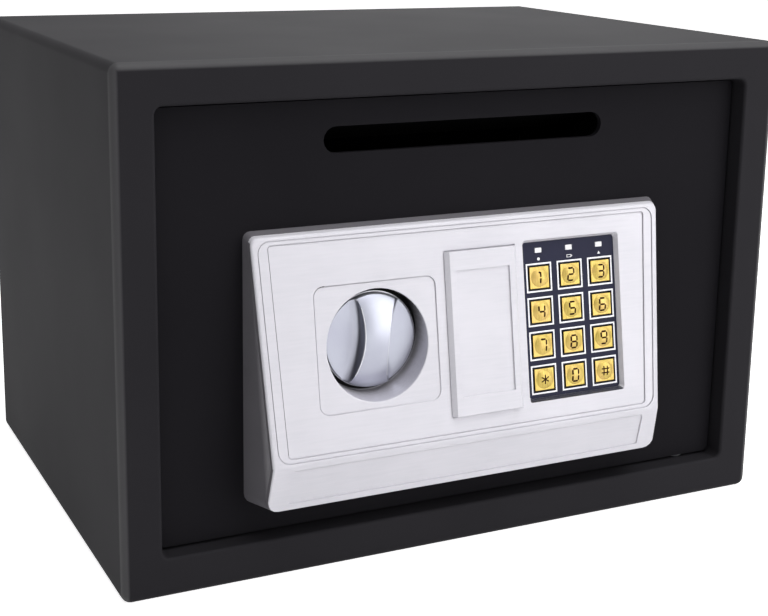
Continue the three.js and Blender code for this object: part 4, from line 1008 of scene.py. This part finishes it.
def makeKeyCap(look):
    cells = look["cells"]
    bpy.ops.mesh.primitive_grid_add(x_subdivisions=cells, y_subdivisions=cells, size=1)
    cap = christen("keyCap")
    cap.scale = (look["size"][0] * mm, look["size"][1] * mm, 1)
    setDown(cap)
    for vertex in cap.data.vertices:
        vertex.co.z = keyHeight(look, vertex.co.x / mm, vertex.co.y / mm) * mm
    pickUp(cap)
    bpy.ops.object.mode_set(mode="EDIT")
    bpy.ops.mesh.select_mode(type="EDGE")
    bpy.ops.mesh.select_all(action="DESELECT")
    bpy.ops.mesh.select_non_manifold()
    drawOut(-(look["skirt"] + look["proud"]))
    bpy.ops.mesh.edge_face_add()
    turnOutwards()
    roundEdges(cap, look["edge"], 3, 60)
    return cap


# One stroke of a character, lying on the key's rounded top.
def inkStroke(look, start, end):
    (x0, y0), (x1, y1) = start, end
    length = math.hypot(x1 - x0, y1 - y0)
    bpy.ops.mesh.primitive_grid_add(x_subdivisions=10, y_subdivisions=3, size=1)
    stroke = christen("inkStroke")
    half = look["stroke"] / 2
    for vertex in stroke.data.vertices:
        along = vertex.co.x * length
        side = vertex.co.y * look["stroke"]
        room = length / 2 - abs(side)
        vertex.co.x = max(-room, min(room, along))
        vertex.co.y = max(-half, min(half, side))
    angle = math.atan2(y1 - y0, x1 - x0)
    for vertex in stroke.data.vertices:
        x = (x0 + x1) / 2 + vertex.co.x * math.cos(angle) - vertex.co.y * math.sin(angle)
        y = (y0 + y1) / 2 + vertex.co.x * math.sin(angle) + vertex.co.y * math.cos(angle)
        x += y * math.tan(math.radians(look["lean"]))
        vertex.co = Vector((x, y, keyHeight(look, x, y) - look["inkFoot"])) * mm
    choose(stroke, "FACE")
    drawOut(look["ink"] + look["inkFoot"])
    turnOutwards()
    return stroke


def strokesOf(look, character):
    w, h = look["digit"][0] / 2, look["digit"][1] / 2
    gap = look["stroke"] * 0.12
    ends = {
        "a": ((-w + gap, h), (w - gap, h)), "g": ((-w + gap, 0), (w - gap, 0)),
        "d": ((-w + gap, -h), (w - gap, -h)),
        "f": ((-w, gap), (-w, h - gap)), "b": ((w, gap), (w, h - gap)),
        "e": ((-w, -h + gap), (-w, -gap)), "c": ((w, -h + gap), (w, -gap)),
    }
    if character == "star":
        r = look["markReach"]
        turns = [math.radians(a) for a in (30, 90, 150)]
        return [((-r * math.cos(t), -r * math.sin(t)), (r * math.cos(t), r * math.sin(t)))
                for t in turns]
    if character == "hash":
        r, s = look["markReach"], look["markReach"] * 0.4
        return [((-r, s), (r, s)), ((-r, -s), (r, -s)), ((-s, -r), (-s, r)), ((s, -r), (s, r))]
    if character == "1":
        return [((0.15 * w, gap), (0.15 * w, h - gap)), ((0.15 * w, -h + gap), (0.15 * w, -gap)),
                ((-0.6 * w, h - 0.9), (0.1 * w, h - 0.1))]
    return [ends[letter] for letter in segmentsOf[character]]


def makeKeys(look):
    cap = makeKeyCap(look)
    for index, keyName in enumerate(keyNames):
        row, column = divmod(index, 3)
        x = slope["keypadAcross"] + keypadLook["columns"][column]
        y = slopeLength - keypadLook["firstRow"] - row * keypadLook["rowPitch"]
        key = bringIn("keyCap_" + keyName, cap.data.copy())
        paint(key, gold, keyBlack)
        for polygon in key.data.polygons:  # gilt on top only
            polygon.material_index = 0 if polygon.normal.z > 0.4 else 1
        pen = {**look, "stroke": look["markStroke"]} if keyName in ("star", "hash") else look
        strokes = [inkStroke(pen, *ends) for ends in strokesOf(look, keyName)]
        for stroke in strokes:
            paint(stroke, darkInk)
        joinOnto(key, strokes)
        key.matrix_world = Matrix.Translation(Vector((x, y, slope["keypadTop"])) * mm)
        bpy.context.view_layer.update()
        ontoFace(key)
        smoothOver(key, 40)
        standFor(key, "key_" + keyName, "gold_key")
    bpy.data.objects.remove(cap)


makeKeys(keyLook)
print("keypad done")


# Knob: a low dome with a scoop on each side, which leaves a waisted grip

knobShape = {
    "centre": (-52.4, -119.2, 109.263),
    "radius": 23.4,
    "rim": 1.3,
    "foot": 3.6,
    "dome": 6.6,
    "domePower": 0.9,
    "domeEdge": 0.6,
    "waist": 6.3,
    "scoopRadius": 64,
    "scoopFloor": 1.9,
    "fillet": 4.2,
    "edge": 0.55,
    "rimEdge": 0.5,
    "lip": 0.45,
    "lipFall": 0.1,
    "ease": 0.6,
    "hub": 7,
    "hubReach": 1.6,
    "lean": 4.6,
    "rows": 181,
}


def quarter(steps):  # angles from zero to a right angle
    return [math.pi / 2 * i / steps for i in range(steps + 1)]


# Half a cross-section of the knob at height y, from its middle out to its rim. Points that lie
# beyond the dome are brought back onto it at the end.
def knobSection(look, y):
    beyond = 99
    big, floor = look["radius"] - look["lip"], look["scoopFloor"]
    reach = math.sqrt(max(big ** 2 - y ** 2, 0))
    wall = waistAt(look, y)

    def domeAt(x):
        share = max(1 - (x ** 2 + y ** 2) / big ** 2, 0)
        ease = look["domeEdge"]
        inwards = max(ease - big + math.hypot(x, y), 0)
        eased = ease - math.sqrt(max(ease ** 2 - inwards ** 2, 0))
        return look["foot"] + look["dome"] * share ** look["domePower"] - eased

    edge, fillet = look["edge"], look["fillet"]
    top = domeAt(min(wall - edge, reach))
    drop = min(edge, max(top - floor - fillet, 0))
    shoulder = top - drop
    line = [(i / 14 * (wall - edge), beyond) for i in range(14)]
    for a in quarter(5):
        line.append((wall - edge + edge * math.sin(a), shoulder + drop * math.cos(a)))
    for i in range(1, 4):
        line.append((wall, shoulder + (floor + fillet - shoulder) * i / 4))
    for a in quarter(7):
        line.append((wall + fillet * (1 - math.cos(a)), floor + fillet * (1 - math.sin(a))))
    start = wall + fillet
    room = min(look["rimEdge"], max(reach - start, 0))
    flatEnd = reach - room
    for i in range(1, 11):
        line.append((start + (flatEnd - start) * i / 10 if flatEnd > start else beyond, floor))
    for a in quarter(4)[1:]:
        line.append((flatEnd + room * math.sin(a),
                     floor - (floor - look["rim"]) * (1 - math.cos(a))))
    half = [(min(x, reach), min(z, domeAt(min(x, reach)))) for x, z in line]
    return half + [(reach, look["rim"])]


def waistAt(look, y):
    return look["waist"] + look["scoopRadius"] - math.sqrt(look["scoopRadius"] ** 2 - y ** 2)


# The grip's two edges are cut bright; the lip round the disc and the grip's ends are paler:
# polished metal, with a painted highlight in their pale colour.
def polishAndHighlightEdges(knob, look):
    inner = look["radius"] - look["lip"]
    endReach = 0.3
    for polygon in knob.data.polygons:
        x, y, z = polygon.center / mm
        onGrip = waistAt(look, y) - look["edge"] < abs(x) < waistAt(look, y) and (
            z > look["scoopFloor"] + look["fillet"])
        onLip = math.hypot(x, y) > inner and polygon.normal.z > 0.3
        onEnd = math.hypot(x, y) > inner - endReach and z > look["rim"] and (
            abs(polygon.normal.y) > 0.8)
        if onLip or onEnd:
            polygon.material_index = 2
        elif onGrip and abs(polygon.normal.x) > 0.2:
            polygon.material_index = 1


def makeKnob(look):
    columns = 2 * len(knobSection(look, 0)) - 1
    rows = look["rows"]
    inner = look["radius"] - look["lip"]
    bpy.ops.mesh.primitive_grid_add(x_subdivisions=columns - 1, y_subdivisions=rows - 1, size=2)
    knob = christen("turnKnob")
    sections = []
    for row in range(rows):
        y = inner * math.sin(math.pi * (row / (rows - 1) - 0.5))
        half = knobSection(look, y)
        if row in (0, rows - 1):
            half = [(0, look["rim"])] * len(half)
        sections.append([(-x, y, z) for x, z in reversed(half[1:])] + [(x, y, z) for x, z in half])
    for vertex in knob.data.vertices:
        column = round((vertex.co.x + 1) / 2 * (columns - 1))
        row = round((vertex.co.y + 1) / 2 * (rows - 1))
        vertex.co = Vector(sections[row][column]) * mm
    pickUp(knob)
    bpy.ops.object.mode_set(mode="EDIT")
    bpy.ops.mesh.select_mode(type="EDGE")
    bpy.ops.mesh.select_all(action="SELECT")
    bpy.ops.mesh.remove_doubles(threshold=0.004 * mm)
    bpy.ops.mesh.select_all(action="DESELECT")
    bpy.ops.mesh.select_non_manifold(use_wire=False, use_multi_face=False,
                                     use_non_contiguous=False, use_verts=False)
    steps = ((look["lipFall"], look["radius"] / inner),
             (look["rim"] - look["lipFall"] - look["ease"], 1),
             (look["ease"], 1 - look["ease"] / look["radius"]),
             (0, look["hub"] / (look["radius"] - look["ease"])), (look["hubReach"], 1))
    for drop, scale in steps:
        drawOut(-drop)
        bpy.ops.transform.resize(value=(scale, scale, 1), center_override=(0, 0, 0))
    bpy.ops.mesh.edge_face_add()
    turnOutwards()
    smoothOver(knob, 50)
    paint(knob, knobMetal, knobPolish, knobRim)
    polishAndHighlightEdges(knob, look)
    place = Matrix.Translation(Vector(look["centre"]) * mm)
    knob.matrix_world = (place @ Matrix.Rotation(math.pi / 2, 4, "X")
                         @ Matrix.Rotation(-math.radians(look["lean"]), 4, "Z"))
    setDown(knob)
    return knob


standFor(makeKnob(knobShape), "knob", "knob_metal")
print("knob done")


# Works behind the door

worksLook = {"edge": 0.25}
dress(
    worksLook,
    ("knob_spindle", "knobSpindle", steel, "steel"),
    ("bolt_cam", "boltCam", zinc, "zinc"),
    ("bolt_plate", "boltPlate", zinc, "zinc"),
    ("lower_bolt", "lockBoltLower", steel, "steel"),
    ("upper_bolt", "lockBoltUpper", steel, "steel"),
    ("lower_guide_stud", "guideStudLower", steel, "steel"),
    ("upper_guide_stud", "guideStudUpper", steel, "steel"),
    ("bolt_bracket", "boltBracket", zinc, "zinc"),
    ("solenoid_plunger", "solenoidPlunger", steel, "steel"),
    ("plunger_spring", "plungerSpring", steel, "steel"),
    ("lock_barrel", "lockBarrel", steel, "steel"),
    ("lock_plug", "lockPlug", brass, "brass"),
    ("keypad_membrane", "keypadMembrane", rubber, "rubber"),
    ("circuit_board", "keypadBoard", board, "board"),
    ("battery_box", "cellBox", blackPlastic, "black_plastic"),
    ("battery_lid", "cellLid", blackPlastic, "black_plastic"),
    ("reset_switch", "resetSwitch", blackPlastic, "black_plastic"),
    ("reset_button", "resetButton", redPlastic, "red_plastic"),
)

coilLook = {"edge": 0}  # the coil meets its frame along a line, and rounding tears there
dress(coilLook, ("solenoid", "lockSolenoid", coil, "coil"))
innerCoverLook = {"edge": 0.5, "segments": 3}
dress(innerCoverLook, ("mechanism_cover", "worksCover", coat, "door_coat"))
nutLook = {"edge": 0.3}
dress(nutLook, *(("cover_nut_" + number, "coverNut_" + number, zinc, "steel")
                 for number in "1234"))
cellLook = {"edge": 0.3}
dress(cellLook, *(("battery_" + number, "cell_" + number, sleeve, "cell_sleeve")
                  for number in "1234"))
print("works done")


# Studio: a pale floor, a pale surround and soft lamps

studioLook = {
    "floorSize": 14,
    "floorFinish": {"colour": "f4f4f4", "roughness": 0.9, "specular": 0.1},
    "surround": 1.0,
    "surroundLight": 0.2,
    "floorLift": 0.85,
    "aim": (0, 0, 0.12),
    "lamps": (
        ("keyLamp", (0.75, -1.0, 0.32), 0.9, 7.7),
        ("upperLamp", (0.8, -1.2, 1.3), 1.0, 4),
        ("fillLamp", (-1.5, -1.4, 1.0), 1.0, 3),
        ("topLamp", (0.4, -0.6, 2.0), 1.8, 33),
        ("backLamp", (0.8, 1.3, 0.6), 1.0, 3.2),
    ),
}


# 1 for rays from the camera, from metal and through glass, which see the pale background.
def seenBy(tree):
    rays = addNode(tree, "LightPath", {})
    total = rays.outputs["Is Camera Ray"]
    for name in ("Is Glossy Ray", "Is Transmission Ray"):
        total = mathOf(tree, "MAXIMUM", total, rays.outputs[name])
    return total


def makeStudio(look):
    bpy.ops.mesh.primitive_plane_add(size=look["floorSize"], location=(0, 0, 0))
    floor = christen("studioFloor")
    material, tree, shader = newFinish("studioFloor", look["floorFinish"])
    shader.inputs["Emission Color"].default_value = (1, 1, 1, 1)
    feed(spanOf(tree, seenBy(tree), 0, look["floorLift"], 0, 1), shader, "Emission Strength")
    paint(floor, material)

    world = bpy.data.worlds.new("studio")
    bpy.context.scene.world = world
    world.use_nodes = True
    tree = world.node_tree
    background = tree.nodes["Background"]
    background.inputs["Color"].default_value = (1, 1, 1, 1)
    feed(spanOf(tree, seenBy(tree), look["surroundLight"], look["surround"], 0, 1),
         background, "Strength")

    for name, place, size, power in look["lamps"]:
        data = bpy.data.lights.new(name, "AREA")
        data.shape = "SQUARE"
        data.size = size
        data.energy = power
        lamp = bringIn(name, data)
        lamp.location = place
        aim = Vector(look["aim"]) - Vector(place)
        lamp.rotation_euler = aim.to_track_quat("-Z", "Y").to_euler()


makeStudio(studioLook)
bpy.context.scene.view_settings.view_transform = "Standard"
print("studio lit")
